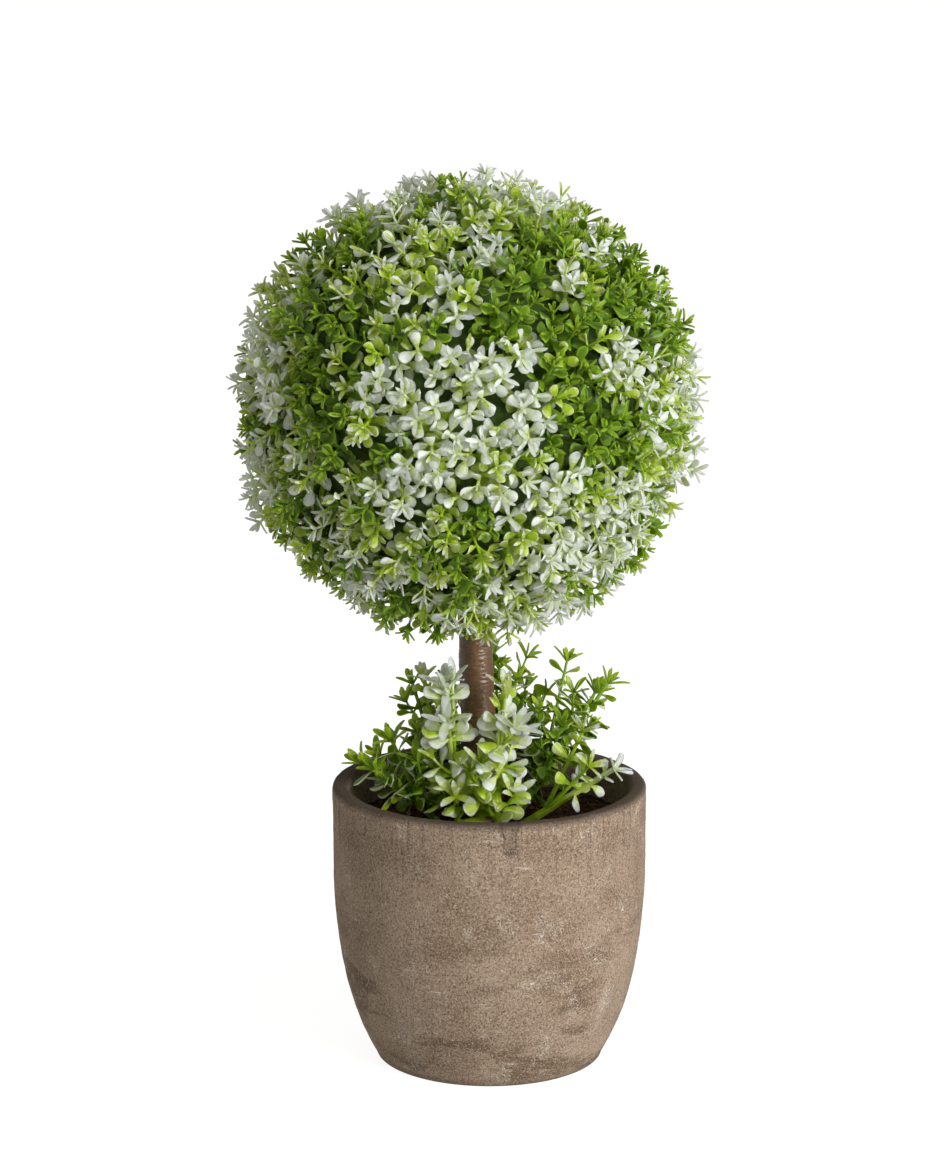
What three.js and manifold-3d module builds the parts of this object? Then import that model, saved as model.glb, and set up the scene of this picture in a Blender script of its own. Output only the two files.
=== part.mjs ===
// An artificial topiary tree that stands on a table: a clipped ball of plastic box sprigs on a straight
// brown stem, set in brown fill in a fibre-cement pot, with loose sprigs planted round the stem's foot.
// Millimetres, +Z up, seen from the front along +Y. The origin is the centre of the pot's flat underside.

import * as THREE from "three";
import { mergeVertices } from "three/addons/utils/BufferGeometryUtils.js";
import Module from "manifold-3d";

const wasm = await Module();
wasm.setup();

// Clearance between pieces that sit in or on each other, the reach within which corners are one corner,
// and the finest edge that is kept where pieces are joined
const SEAT = 0.3;
const SAME_CORNER = 1e-4;
const JOIN_GRAIN = 0.03;

// Pot: an upright wall that curves in to a smaller foot
const POT_DIAMETER = 110;
const POT_HEIGHT = 98.5;
const POT_FOOT_DIAMETER = 78.4;
const POT_CURVE = 3.75;
const POT_WALL = 5.6;
const POT_FLOOR = 7;
const POT_EDGE_ROUND = 1.6;
const POT_OUTER_STEPS = 8;
const POT_INNER_STEPS = 5;
const POT_SIDES = 36;

// Fill: everything in the pot up to the brown top layer
const FILL_BELOW_RIM = 13;
const FILL_TOP = POT_HEIGHT - FILL_BELOW_RIM;

// Crown: its centre hangs a little to the left of the pot's axis
const CROWN_CENTRE = new THREE.Vector3(-7.8, 0, 232);
const CROWN_RADIUS = 80;
const CROWN_SPREAD = 3.2;
const CROWN_TIP_LEAF = 8;
const CROWN_CORE_RADIUS = 64;
const CROWN_CORE_DETAIL = 4;
const CROWN_CORE_BUMP = 5;
const CROWN_CORE_BUMP_SPACING = 34;
const CROWN_SPRIGS = 104;
const CROWN_SEED = 11;
const CROWN_LEAN = 0.3;
const CROWN_STEM_RADIUS = 1.25;
const CROWN_STEM_SUNK = 4;

// Trunk: from a flat cut on the fill to a tip inside the crown's core
const TRUNK_FOOT_X = -2.6;
const TRUNK_FOOT_RADIUS = 6.3;
const TRUNK_NECK_RADIUS = 5.9;
const TRUNK_TIP_RADIUS = 5.2;
const TRUNK_FLARE = 0.5;
const TRUNK_FLARE_HEIGHT = 6;
const TRUNK_SUNK = 34;
const TRUNK_SIDES = 16;

// Loose sprigs round the trunk, one to each equal wedge, from the right anticlockwise seen from above:
// the lean of each from upright, in degrees, and its length
const BASE_SPRIGS = [
  { name: "sprig_right", lean: 55, length: 41, hue: 0x9fb75c },
  { name: "sprig_back_right", lean: 41, length: 57, hue: 0x5c7a35 },
  { name: "sprig_back", lean: 19, length: 56, hue: 0x5c7a35 },
  { name: "sprig_back_left", lean: 34, length: 51, hue: 0x5c7a35 },
  { name: "sprig_left", lean: 54, length: 40, hue: 0x7f9a4a },
  { name: "sprig_front_left", lean: 9, length: 54, hue: 0xd6ddbf },
  { name: "sprig_front_right", lean: 12, length: 52, hue: 0xd6ddbf },
];
const BASE_FIRST_BEARING = -20;
const BASE_SEED = 29;
const BASE_FOOT_RADIUS = 15;
const BASE_STEM_RADIUS = 1.2;
const BASE_TWIG_RADIUS = 0.95;
const BASE_STEM_SUNK = 1.5;
const BASE_FORK = 0.24;
const BASE_TWIGS = [
  { turn: 15, lean: 0.45, length: 0.78 },
  { turn: -15, lean: 0.8, length: 0.66 },
];
const BASE_MARGIN = 0.5;

// Stems narrow to this share of their foot at the tip
const STEM_TAPER = 0.55;

// Leaves: spoon shaped, in opposite pairs, each pair a quarter turn from the one below
const LEAF_WIDTH = 0.66;
const LEAF_THICKNESS = 0.09;
const LEAF_BELLY = 0.6;
const LEAF_CURL = 0.1;
const CROWN_PAIRS = [
  { along: 0.62, open: 70, length: 18 },
  { along: 0.94, open: 46, length: 14 },
];
const BASE_PAIRS = [
  { along: 0.44, open: 60, length: 11 },
  { along: 0.7, open: 54, length: 11 },
  { along: 0.94, open: 36, length: 9.5 },
];

const GOLDEN_ANGLE = Math.PI * (3 - Math.sqrt(5));
const UP = new THREE.Vector3(0, 0, 1);
const RIGHT = new THREE.Vector3(1, 0, 0);
const NEARLY_UPRIGHT = 0.9;

// The same row of numbers between 0 and 1 for the same seed
function seeded(seed) {
  let state = seed >>> 0;
  return () => {
    state = (state + 0x6d2b79f5) >>> 0;
    let mixed = Math.imul(state ^ (state >>> 15), state | 1);
    mixed ^= mixed + Math.imul(mixed ^ (mixed >>> 7), mixed | 61);
    return ((mixed ^ (mixed >>> 14)) >>> 0) / 4294967296;
  };
}

// Solids: a closed geometry as a body that can be joined and cut, and back again
function solidOf(geometry) {
  const bare = geometry.clone();
  bare.deleteAttribute("normal");
  bare.deleteAttribute("uv");
  const merged = mergeVertices(bare, SAME_CORNER);
  return new wasm.Manifold(new wasm.Mesh({
    numProp: 3,
    vertProperties: new Float32Array(merged.attributes.position.array),
    triVerts: new Uint32Array(merged.index.array),
  }));
}

function geometryOf(solid) {
  const mesh = solid.getMesh();
  const geometry = new THREE.BufferGeometry();
  geometry.setAttribute("position", new THREE.BufferAttribute(mesh.vertProperties, 3));
  geometry.setIndex(new THREE.BufferAttribute(mesh.triVerts, 1));
  geometry.computeVertexNormals();
  return geometry;
}

// The largest body of a union, with edges finer than the join's grain closed up: loose scraps and
// sealed hollows are dropped
function wholeBody(solids) {
  const bodies = wasm.Manifold.union(solids).asOriginal().simplify(JOIN_GRAIN).decompose();
  return bodies.reduce((best, body) => (body.volume() > best.volume() ? body : best));
}

// A lathe about +Z from points of radius and height
function turned(points, sides) {
  const profile = points.map(([radius, height]) => new THREE.Vector2(radius, height));
  return new THREE.LatheGeometry(profile, sides).rotateX(Math.PI / 2);
}

// Pot
function potRadius(height) {
  const drop = (POT_HEIGHT - height) / POT_HEIGHT;
  const foot = POT_FOOT_DIAMETER / 2;
  const wide = POT_DIAMETER / 2;
  return wide - (wide - foot) * drop ** POT_CURVE;
}

function wallPoints(low, high, inset, steps) {
  const points = [];
  for (let step = 0; step <= steps; step++) {
    const height = THREE.MathUtils.lerp(low, high, step / steps);
    points.push([potRadius(height) - inset, height]);
  }
  return points;
}

function potGeometry() {
  const shoulder = POT_HEIGHT - POT_EDGE_ROUND;
  const half = POT_EDGE_ROUND * (1 - Math.SQRT1_2);
  const outer = potRadius(POT_HEIGHT);
  const inner = outer - POT_WALL;
  const outside = wallPoints(POT_EDGE_ROUND, shoulder, 0, POT_OUTER_STEPS);
  const inside = wallPoints(POT_FLOOR + POT_EDGE_ROUND, shoulder, POT_WALL, POT_INNER_STEPS).reverse();
  return turned([
    [0, 0],
    [potRadius(0) - POT_EDGE_ROUND, 0],
    ...outside,
    [outer - half, POT_HEIGHT - half],
    [outer - POT_EDGE_ROUND, POT_HEIGHT],
    [inner + POT_EDGE_ROUND, POT_HEIGHT],
    [inner + half, POT_HEIGHT - half],
    ...inside,
    [potRadius(POT_FLOOR) - POT_WALL - POT_EDGE_ROUND, POT_FLOOR],
    [0, POT_FLOOR],
  ], POT_SIDES);
}

function fillGeometry() {
  const bottom = POT_FLOOR + POT_EDGE_ROUND + SEAT;
  const wall = wallPoints(bottom, FILL_TOP, POT_WALL + SEAT, POT_INNER_STEPS);
  const floor = POT_FLOOR + SEAT;
  return turned([
    [0, floor],
    [potRadius(floor) - POT_WALL - POT_EDGE_ROUND - SEAT, floor],
    ...wall,
    [0, FILL_TOP],
  ], POT_SIDES);
}

// Trunk: horizontal rings about a line that leans from the foot towards the crown's centre
const TRUNK_FOOT_Z = FILL_TOP + SEAT;
const TRUNK_TIP_Z = CROWN_CENTRE.z - CROWN_CORE_RADIUS + TRUNK_SUNK;
const TRUNK_SLOPE = (CROWN_CENTRE.x - TRUNK_FOOT_X) / (CROWN_CENTRE.z - TRUNK_FOOT_Z);

function trunkX(height) {
  return TRUNK_FOOT_X + TRUNK_SLOPE * (height - TRUNK_FOOT_Z);
}

function trunkGeometry(clearance) {
  const neck = CROWN_CENTRE.z - CROWN_RADIUS;
  const geometry = turned([
    [0, TRUNK_FOOT_Z - clearance],
    [TRUNK_FOOT_RADIUS + TRUNK_FLARE + clearance, TRUNK_FOOT_Z - clearance],
    [TRUNK_FOOT_RADIUS + clearance, TRUNK_FOOT_Z + TRUNK_FLARE_HEIGHT],
    [TRUNK_NECK_RADIUS + clearance, neck],
    [TRUNK_TIP_RADIUS + clearance, TRUNK_TIP_Z + clearance],
    [0, TRUNK_TIP_Z + clearance],
  ], TRUNK_SIDES);
  const place = geometry.attributes.position;
  for (let i = 0; i < place.count; i++) {
    place.setX(i, place.getX(i) + trunkX(place.getZ(i)));
  }
  return geometry;
}

// How far a point stands clear of the trunk's surface
function clearOfTrunk(point) {
  const away = Math.hypot(point.x - trunkX(point.z), point.y);
  return away - TRUNK_FOOT_RADIUS - TRUNK_FLARE;
}

// Sprigs: a three-sided stem from root to tip, and leaves that stand out of it
function stemGeometry(root, tip, radius) {
  const along = new THREE.Vector3().subVectors(tip, root);
  const geometry = new THREE.CylinderGeometry(radius * STEM_TAPER, radius, along.length(), 3);
  geometry.translate(0, along.length() / 2, 0);
  const turn = new THREE.Quaternion().setFromUnitVectors(new THREE.Vector3(0, 1, 0), along.normalize());
  return geometry.applyQuaternion(turn).translate(root.x, root.y, root.z);
}

// An eight-faced leaf with its root at the origin, lying along +Y
function leafGeometry(length) {
  const geometry = new THREE.OctahedronGeometry(1);
  const place = geometry.attributes.position;
  for (let i = 0; i < place.count; i++) {
    const along = Math.abs(place.getY(i)) > 0.5 ? (place.getY(i) + 1) / 2 : LEAF_BELLY;
    const curl = LEAF_CURL * along * along * length;
    place.setXYZ(
      i,
      place.getX(i) * LEAF_WIDTH * length / 2,
      along * length,
      place.getZ(i) * LEAF_THICKNESS * length / 2 + curl,
    );
  }
  return geometry;
}

function cornersOf(geometry) {
  const place = geometry.attributes.position;
  return Array.from({ length: place.count }, (_, i) => new THREE.Vector3().fromBufferAttribute(place, i));
}

// The stem and the leaves of one twig, less the pieces that would leave its space
function twigGeometries(root, tip, radius, twist, pairs, inSpace) {
  const stem = stemGeometry(root, tip, radius);
  const axis = new THREE.Vector3().subVectors(tip, root).normalize();
  const guide = Math.abs(axis.z) > NEARLY_UPRIGHT ? RIGHT : UP;
  const across = new THREE.Vector3().crossVectors(axis, guide).normalize();
  const pieces = [stem];
  pairs.forEach(({ along, open, length }, tier) => {
    for (let side = 0; side < 2; side++) {
      const turn = twist + tier * Math.PI / 2 + side * Math.PI;
      const outward = across.clone().applyAxisAngle(axis, turn);
      const lift = THREE.MathUtils.degToRad(open);
      const reach = axis.clone().multiplyScalar(Math.cos(lift)).addScaledVector(outward, Math.sin(lift));
      const broad = new THREE.Vector3().crossVectors(axis, outward);
      const thick = new THREE.Vector3().crossVectors(broad, reach);
      const at = new THREE.Vector3().lerpVectors(root, tip, along);
      const frame = new THREE.Matrix4().makeBasis(broad, reach, thick).setPosition(at);
      const leaf = leafGeometry(length).applyMatrix4(frame);
      if (cornersOf(leaf).every(inSpace)) {
        pieces.push(leaf);
      }
    }
  });
  return pieces;
}

// The crown's core: a ball with soft bumps and hollows, as the shaded inner leaves have
function coreGeometry() {
  const geometry = new THREE.IcosahedronGeometry(CROWN_CORE_RADIUS, CROWN_CORE_DETAIL);
  const place = geometry.attributes.position;
  const wave = 2 * Math.PI / CROWN_CORE_BUMP_SPACING;
  for (let i = 0; i < place.count; i++) {
    const point = new THREE.Vector3().fromBufferAttribute(place, i);
    const bump = Math.sin(wave * point.x) * Math.sin(wave * point.y) * Math.sin(wave * point.z);
    point.setLength(CROWN_CORE_RADIUS + CROWN_CORE_BUMP * bump);
    place.setXYZ(i, point.x, point.y, point.z);
  }
  return geometry.translate(CROWN_CENTRE.x, CROWN_CENTRE.y, CROWN_CENTRE.z);
}

// Crown: sprigs on an even spiral over the core, each leaning and reaching a little differently
function crownGeometry() {
  const random = seeded(CROWN_SEED);
  const solids = [solidOf(coreGeometry()).subtract(solidOf(trunkGeometry(SEAT)))];
  const inSpace = (point) => clearOfTrunk(point) > SEAT;
  for (let i = 0; i < CROWN_SPRIGS; i++) {
    const height = 1 - (2 * i + 1) / CROWN_SPRIGS;
    const ring = Math.sqrt(1 - height * height);
    const turn = i * GOLDEN_ANGLE;
    const outward = new THREE.Vector3(ring * Math.cos(turn), ring * Math.sin(turn), height);
    const lean = new THREE.Vector3(random() - 0.5, random() - 0.5, random() - 0.5);
    const reach = CROWN_RADIUS - CROWN_TIP_LEAF + (2 * random() - 1) * CROWN_SPREAD;
    const twist = random() * 2 * Math.PI;
    const towards = outward.clone().addScaledVector(lean, CROWN_LEAN).normalize();
    const root = CROWN_CENTRE.clone().addScaledVector(outward, CROWN_CORE_RADIUS - CROWN_STEM_SUNK);
    const length = reach - CROWN_CORE_RADIUS + CROWN_STEM_SUNK;
    const tip = root.clone().addScaledVector(towards, length);
    if (inSpace(tip)) {
      const pieces = twigGeometries(root, tip, CROWN_STEM_RADIUS, twist, CROWN_PAIRS, inSpace);
      solids.push(...pieces.map(solidOf));
    }
  }
  return geometryOf(wholeBody(solids));
}

// One loose sprig: a stem in the fill, two side twigs, and the wedge of space that they keep to
function heading(bearing, lean) {
  const ring = Math.sin(lean);
  return new THREE.Vector3(ring * Math.cos(bearing), ring * Math.sin(bearing), Math.cos(lean));
}

function baseSprigGeometry({ lean, length }, index, random) {
  const wedge = 2 * Math.PI / BASE_SPRIGS.length;
  const bearing = THREE.MathUtils.degToRad(BASE_FIRST_BEARING) + index * wedge;
  const inSpace = (point) => {
    const x = point.x - TRUNK_FOOT_X;
    const left = -x * Math.sin(bearing + wedge / 2) + point.y * Math.cos(bearing + wedge / 2);
    const right = x * Math.sin(bearing - wedge / 2) - point.y * Math.cos(bearing - wedge / 2);
    const inWedge = Math.max(left, right) < -BASE_MARGIN;
    const aboveFill = point.z > FILL_TOP + BASE_MARGIN;
    const overRim = point.z > POT_HEIGHT + BASE_MARGIN;
    const inPot = Math.hypot(point.x, point.y) < potRadius(FILL_TOP) - POT_WALL - BASE_MARGIN;
    return inWedge && aboveFill && (overRim || inPot) && clearOfTrunk(point) > BASE_MARGIN;
  };
  const foot = heading(bearing, Math.PI / 2).multiplyScalar(BASE_FOOT_RADIUS);
  foot.add(new THREE.Vector3(TRUNK_FOOT_X, 0, FILL_TOP + SEAT - BASE_STEM_SUNK));
  const tilt = THREE.MathUtils.degToRad(lean);
  const tip = foot.clone().addScaledVector(heading(bearing, tilt), length);
  const twist = random() * Math.PI;
  const pieces = twigGeometries(foot, tip, BASE_STEM_RADIUS, twist, BASE_PAIRS, inSpace);
  const fork = new THREE.Vector3().lerpVectors(foot, tip, BASE_FORK);
  for (const twig of BASE_TWIGS) {
    const side = heading(bearing + THREE.MathUtils.degToRad(twig.turn), tilt * twig.lean);
    const end = fork.clone().addScaledVector(side, length * twig.length);
    const turn = random() * Math.PI;
    pieces.push(...twigGeometries(fork, end, BASE_TWIG_RADIUS, turn, BASE_PAIRS.slice(1), inSpace));
  }
  const ground = new THREE.BoxGeometry(POT_DIAMETER, POT_DIAMETER, FILL_TOP);
  ground.translate(0, 0, FILL_TOP / 2 + SEAT);
  return geometryOf(wholeBody(pieces.map(solidOf)).subtract(solidOf(ground)));
}

// Assembly
function named(name, geometry, color, roughness) {
  const material = new THREE.MeshStandardMaterial({ color, roughness, metalness: 0 });
  const mesh = new THREE.Mesh(geometry, material);
  mesh.name = name;
  return mesh;
}

const topiary = new THREE.Group();
topiary.add(named("pot", potGeometry(), 0x8d7a68, 0.9));
topiary.add(named("fill", fillGeometry(), 0x3b281c, 0.95));
topiary.add(named("trunk", trunkGeometry(0), 0x6a4d36, 0.5));
topiary.add(named("crown", crownGeometry(), 0x9fb86a, 0.45));

const baseRandom = seeded(BASE_SEED);
BASE_SPRIGS.forEach((sprig, index) => {
  topiary.add(named(sprig.name, baseSprigGeometry(sprig, index, baseRandom), sprig.hue, 0.45));
});

export default topiary;
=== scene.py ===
# %% [markdown]
# # A table topiary in a fibre-cement pot
# The real thing is an artificial tree about 31 cm tall: a clipped ball of moulded plastic box sprigs on a
# brown stem, set in coir in a cast pot, with loose sprigs round the stem's foot. The frame holds its
# solids at their real places and sizes. Each step below makes a finer mesh for one of them, in the same
# place, and gives it the finish that the eye expects.

# %% Load the solids
import math
import random

import bmesh
import bpy
import numpy as np
from mathutils import Matrix, Vector, noise


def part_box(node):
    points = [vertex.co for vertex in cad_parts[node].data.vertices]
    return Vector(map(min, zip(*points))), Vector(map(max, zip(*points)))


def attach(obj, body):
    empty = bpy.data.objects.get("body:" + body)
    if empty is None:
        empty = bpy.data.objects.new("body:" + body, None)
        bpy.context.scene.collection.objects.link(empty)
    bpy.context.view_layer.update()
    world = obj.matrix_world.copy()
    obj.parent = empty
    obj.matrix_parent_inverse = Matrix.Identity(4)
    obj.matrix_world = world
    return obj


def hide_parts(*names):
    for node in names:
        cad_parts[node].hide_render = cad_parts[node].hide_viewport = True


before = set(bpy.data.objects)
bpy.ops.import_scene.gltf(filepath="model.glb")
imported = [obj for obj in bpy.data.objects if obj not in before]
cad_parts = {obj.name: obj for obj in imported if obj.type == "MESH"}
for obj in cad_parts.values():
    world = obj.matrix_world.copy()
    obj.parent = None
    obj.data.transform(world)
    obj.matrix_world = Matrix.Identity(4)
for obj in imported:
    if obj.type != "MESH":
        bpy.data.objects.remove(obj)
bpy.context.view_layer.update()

MM = 0.001

print("solids:", ", ".join(sorted(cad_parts)))

# %% [markdown]
# ## Camera
# The pot's rim is seen as an ellipse, and its shape says how far above the pot the photographer stood. A
# long lens from 1.4 m away gives the ball and the pot the same scale in the picture. The camera sits a
# little to the left of the pot's axis, looks straight ahead and is pitched down. Its sensor's 36 mm go to
# the picture's long side, which is upright here.

# %% Camera
CAMERA_PLACE = Vector((-4.7, -1348.8, 473.8)) * MM
CAMERA_PITCH = 12.7
CAMERA_LENS = 123.05
CAMERA_SENSOR = 36

camera_lens = bpy.data.cameras.new("photo_camera")
camera_lens.lens = CAMERA_LENS
camera_lens.sensor_width = CAMERA_SENSOR
camera = bpy.data.objects.new("photo_camera", camera_lens)
camera.location = CAMERA_PLACE
camera.rotation_euler = (math.radians(90 - CAMERA_PITCH), 0, 0)
bpy.context.scene.collection.objects.link(camera)
bpy.context.scene.camera = camera
print("camera", round(CAMERA_PLACE.length, 3), "m from the pot's foot")

# %% [markdown]
# ## Colours and nodes
# Colours are written as sRGB hex, the way a colour picker shows them, but a shader reckons in linear
# light, so one function turns them. Another adds any node, with its settings, its values and its links.
# Patterns are drawn in object space, which is metres here, so a pattern's scale is one over its real
# size.

# %% Helpers for materials
# Sockets of a Mix node that mixes colours
MIX_SHARE = 0
MIX_FIRST = 6
MIX_SECOND = 7
MIX_RESULT = 2


def linear(hex_colour):
    """An sRGB hex colour as linear red, green, blue and alpha."""
    shares = [int(hex_colour[i:i + 2], 16) / 255 for i in (1, 3, 5)]
    return [s / 12.92 if s <= 0.04045 else ((s + 0.055) / 1.055) ** 2.4 for s in shares] + [1.0]


def per_mm(size):
    """The scale of a pattern whose marks are this many millimetres across."""
    return 1 / (size * MM)


def wire(tree, node, inputs):
    """Gives each named input a value, or a link where an output is given."""
    for name, value in inputs.items():
        if isinstance(value, bpy.types.NodeSocket):
            tree.links.new(value, node.inputs[name])
        else:
            node.inputs[name].default_value = value


def add_node(tree, kind, inputs=None, **settings):
    """Adds one node of a kind, with its settings, values and links."""
    node = tree.nodes.new(kind)
    for name, value in settings.items():
        setattr(node, name, value)
    wire(tree, node, inputs or {})
    return node


def start_material(name):
    """A new material with its node tree, its shader and the place on the object in metres."""
    material = bpy.data.materials.new(name)
    material.use_nodes = True
    tree = material.node_tree
    place = add_node(tree, "ShaderNodeTexCoord").outputs["Object"]
    return material, tree, tree.nodes["Principled BSDF"], place


print("a middle grey, #808080, is", round(linear("#808080")[0], 3), "in linear light")

# %% [markdown]
# ## Floor and light
# The photo is a studio shot on white, with soft light from the right and in front, little fill on the
# left and hardly a shadow on the ground. A wide floor of white paper glows a little, so that it stays
# pale to its far edge, and is kept out of the light that reaches the object, because it would fill the
# dark left side. A large soft lamp does the main lighting, a weak one hangs above, and a dim sky all
# round fills the rest. The plain Standard view shows the colours as they are given.

# %% Floor
FLOOR_HALF = 16.0


def white_paper():
    """Uncoated white paper: quite matt, with a faint tooth."""
    material, tree, shader, place = start_material("white_paper")
    tooth = add_node(tree, "ShaderNodeTexNoise", {"Vector": place, "Scale": per_mm(4), "Detail": 3.0})
    bump = add_node(tree, "ShaderNodeBump", {
        "Height": tooth.outputs["Fac"], "Strength": 0.05, "Distance": 0.1 * MM,
    })
    wire(tree, shader, {
        "Base Color": linear("#a8a8a6"),
        "Roughness": 0.95,
        "Normal": bump.outputs["Normal"],
        "Emission Color": (1.0, 1.0, 1.0, 1.0),
        "Emission Strength": 0.88,
    })
    return material


floor_mesh = bpy.data.meshes.new("paper_floor")
floor_corners = [(x * FLOOR_HALF, y * FLOOR_HALF, 0) for x, y in ((-1, -1), (1, -1), (1, 1), (-1, 1))]
floor_mesh.from_pydata(floor_corners, [], [(0, 1, 2, 3)])
floor_mesh.materials.append(white_paper())
paper_floor = bpy.data.objects.new("paper_floor", floor_mesh)
paper_floor.visible_diffuse = False
paper_floor.visible_glossy = False
bpy.context.scene.collection.objects.link(paper_floor)
print("floor", 2 * FLOOR_HALF, "m square")

# %% Lamps and sky
LIT_POINT = Vector((0, 0, 180)) * MM
SOFT_LAMPS = (
    # name, degrees to the right of the camera, degrees up, distance, size, watts
    ("soft_key", 45, 12, 1.7, 0.8, 25.4),
    ("soft_top", 20, 70, 1.6, 0.9, 3),
)
SKY_ABOVE = "#9e9e9c"
SKY_BELOW = "#c4c3bf"
SKY_STRENGTH = 0.86


def soft_lamp(name, right, up, distance, size, watts):
    """A square lamp that faces the object."""
    light = bpy.data.lights.new(name, "AREA")
    light.size = size
    light.energy = watts
    lamp = bpy.data.objects.new(name, light)
    right, up = math.radians(right), math.radians(up)
    towards = Vector((math.sin(right) * math.cos(up), -math.cos(right) * math.cos(up), math.sin(up)))
    lamp.location = LIT_POINT + towards * distance
    lamp.rotation_euler = towards.to_track_quat("Z", "Y").to_euler()
    bpy.context.scene.collection.objects.link(lamp)


def studio_sky():
    """A soft grey sky, lighter below than above, in place of the light that the paper would send up."""
    sky = bpy.data.worlds.new("studio_sky")
    sky.use_nodes = True
    tree = sky.node_tree
    direction = add_node(tree, "ShaderNodeTexCoord").outputs["Generated"]
    height = add_node(tree, "ShaderNodeSeparateXYZ", {"Vector": direction}).outputs["Z"]
    share = add_node(tree, "ShaderNodeMapRange", {"Value": height, "From Min": -1.0, "From Max": 1.0})
    colour = add_node(tree, "ShaderNodeMix", {
        MIX_SHARE: share.outputs["Result"], MIX_FIRST: linear(SKY_BELOW), MIX_SECOND: linear(SKY_ABOVE),
    }, data_type="RGBA")
    wire(tree, tree.nodes["Background"], {"Color": colour.outputs[MIX_RESULT], "Strength": SKY_STRENGTH})
    return sky


for lamp_values in SOFT_LAMPS:
    soft_lamp(*lamp_values)
bpy.context.scene.world = studio_sky()
bpy.context.scene.view_settings.view_transform = "Standard"
print(len(SOFT_LAMPS), "soft lamps and a sky")

# %% [markdown]
# ## Turned shapes and pieces
# The pot, the fill, the stem and the ball's core are all round, so one helper turns a profile of radius
# and height about the upright axis, with a fan of triangles at each end. Blender's Screw or Spin would do
# it too, but with points in an array the relief of each surface can be pressed in afterwards, point by
# point. A second helper makes the object, smooths it up to an angle, and ties it to the frame.

# %% Helpers for shapes
def turned(profile, sides):
    """Points and faces of a closed lathe whose profile starts and ends on the axis."""
    turns = np.arange(sides) * 2 * math.pi / sides
    circle = np.stack([np.cos(turns), np.sin(turns)], 1)
    rings = [np.column_stack([r * circle, np.full(sides, z)]) for r, z in profile[1:-1]]
    first = np.array([[0, 0, profile[0][1]]])
    last = np.array([[0, 0, profile[-1][1]]])
    points = np.concatenate([first, *rings, last])
    after = [(k + 1) % sides for k in range(sides)]
    faces = [(0, 1 + after[k], 1 + k) for k in range(sides)]
    for ring in range(len(rings) - 1):
        low = 1 + ring * sides
        high = low + sides
        faces += [(low + k, low + after[k], high + after[k], high + k) for k in range(sides)]
    top = 1 + (len(rings) - 1) * sides
    faces += [(top + k, top + after[k], len(points) - 1) for k in range(sides)]
    return points, faces


def arc(centre, radius, start, end, steps):
    """Points of radius and height on a round edge, between two angles in degrees."""
    angles = [math.radians(start + (end - start) * step / steps) for step in range(steps + 1)]
    return [(centre[0] + radius * math.cos(a), centre[1] + radius * math.sin(a)) for a in angles]


def piece_from(name, points, faces, materials, node, slot, tones=None, crease=50):
    """A mesh object that rides on the frame and stands for one of its nodes."""
    mesh = bpy.data.meshes.new(name)
    corners = faces if tones is None else np.asarray(faces).tolist()
    mesh.from_pydata(np.asarray(points).tolist(), [], corners)
    for material in materials:
        mesh.materials.append(material)
    if tones is not None:
        mesh.polygons.foreach_set("material_index", np.asarray(tones, dtype=np.int32))
    mesh.shade_smooth()
    mesh.set_sharp_from_angle(angle=math.radians(crease))
    mesh.update()
    piece = bpy.data.objects.new(name, mesh)
    bpy.context.scene.collection.objects.link(piece)
    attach(piece, "root")
    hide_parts(node)
    triangles = sum(len(face.vertices) - 2 for face in mesh.polygons)
    print(name, triangles, "triangles")


print("a round edge of five steps has", len(arc((0, 0), 1, 0, 90, 5)), "points")

# %% [markdown]
# ## The pot's shape
# The pot is cast in a mould: an upright wall that curves in to a smaller foot, with a flat rim whose
# edges are rubbed round. The wall follows one power curve between the rim's and the foot's radius, so no
# list of points is needed. Handling and sanding leave such pots a little uneven. Two sizes of soft noise
# push the surface in and out by a few tenths of a millimetre, enough for the highlights and the outline
# to waver.

# %% Pot
POT_FOOT_RADIUS = 39.2 * MM
POT_CURVE = 3.75
POT_WALL = 5.6 * MM
POT_FLOOR = 7 * MM
POT_EDGE_ROUND = 1.6 * MM
POT_SIDES = 180
POT_WALL_STEPS = 64
POT_INSIDE_STEPS = 40
POT_ROUND_STEPS = 5
POT_WAVER = 0.3 * MM
POT_WAVER_SIZE = 24 * MM
POT_PITTING = 0.12 * MM
POT_PITTING_SIZE = 3.4 * MM

pot_low, pot_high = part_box("pot")
POT_RADIUS = (pot_high.x - pot_low.x) / 2
POT_HEIGHT = pot_high.z


def pot_radius(height):
    """The wall's outer radius at a height."""
    drop = (POT_HEIGHT - height) / POT_HEIGHT
    return POT_RADIUS - (POT_RADIUS - POT_FOOT_RADIUS) * drop ** POT_CURVE


def pot_profile():
    """Radius and height, from under the foot, up the outside, over the rim and down the inside."""
    edge = POT_EDGE_ROUND
    shoulder = POT_HEIGHT - edge
    outside = [(pot_radius(z), z) for z in np.linspace(edge, shoulder, POT_WALL_STEPS)]
    inside = [(pot_radius(z) - POT_WALL, z) for z in np.linspace(shoulder, POT_FLOOR, POT_INSIDE_STEPS)]
    foot = arc((pot_radius(edge) - edge, edge), edge, -90, 0, POT_ROUND_STEPS)
    outer_rim = arc((POT_RADIUS - edge, shoulder), edge, 0, 90, POT_ROUND_STEPS)
    inner_rim = arc((POT_RADIUS - POT_WALL + edge, shoulder), edge, 90, 180, POT_ROUND_STEPS)
    flat_foot = [(0, 0), (POT_FOOT_RADIUS / 2, 0)]
    return flat_foot + foot + outside[1:-1] + outer_rim + inner_rim + inside[1:] + [(0, POT_FLOOR)]


def waver(points, depth, size):
    """How far soft noise of a size pushes each point."""
    return np.array([noise.noise(Vector(point) / size) for point in points]) * depth


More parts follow.
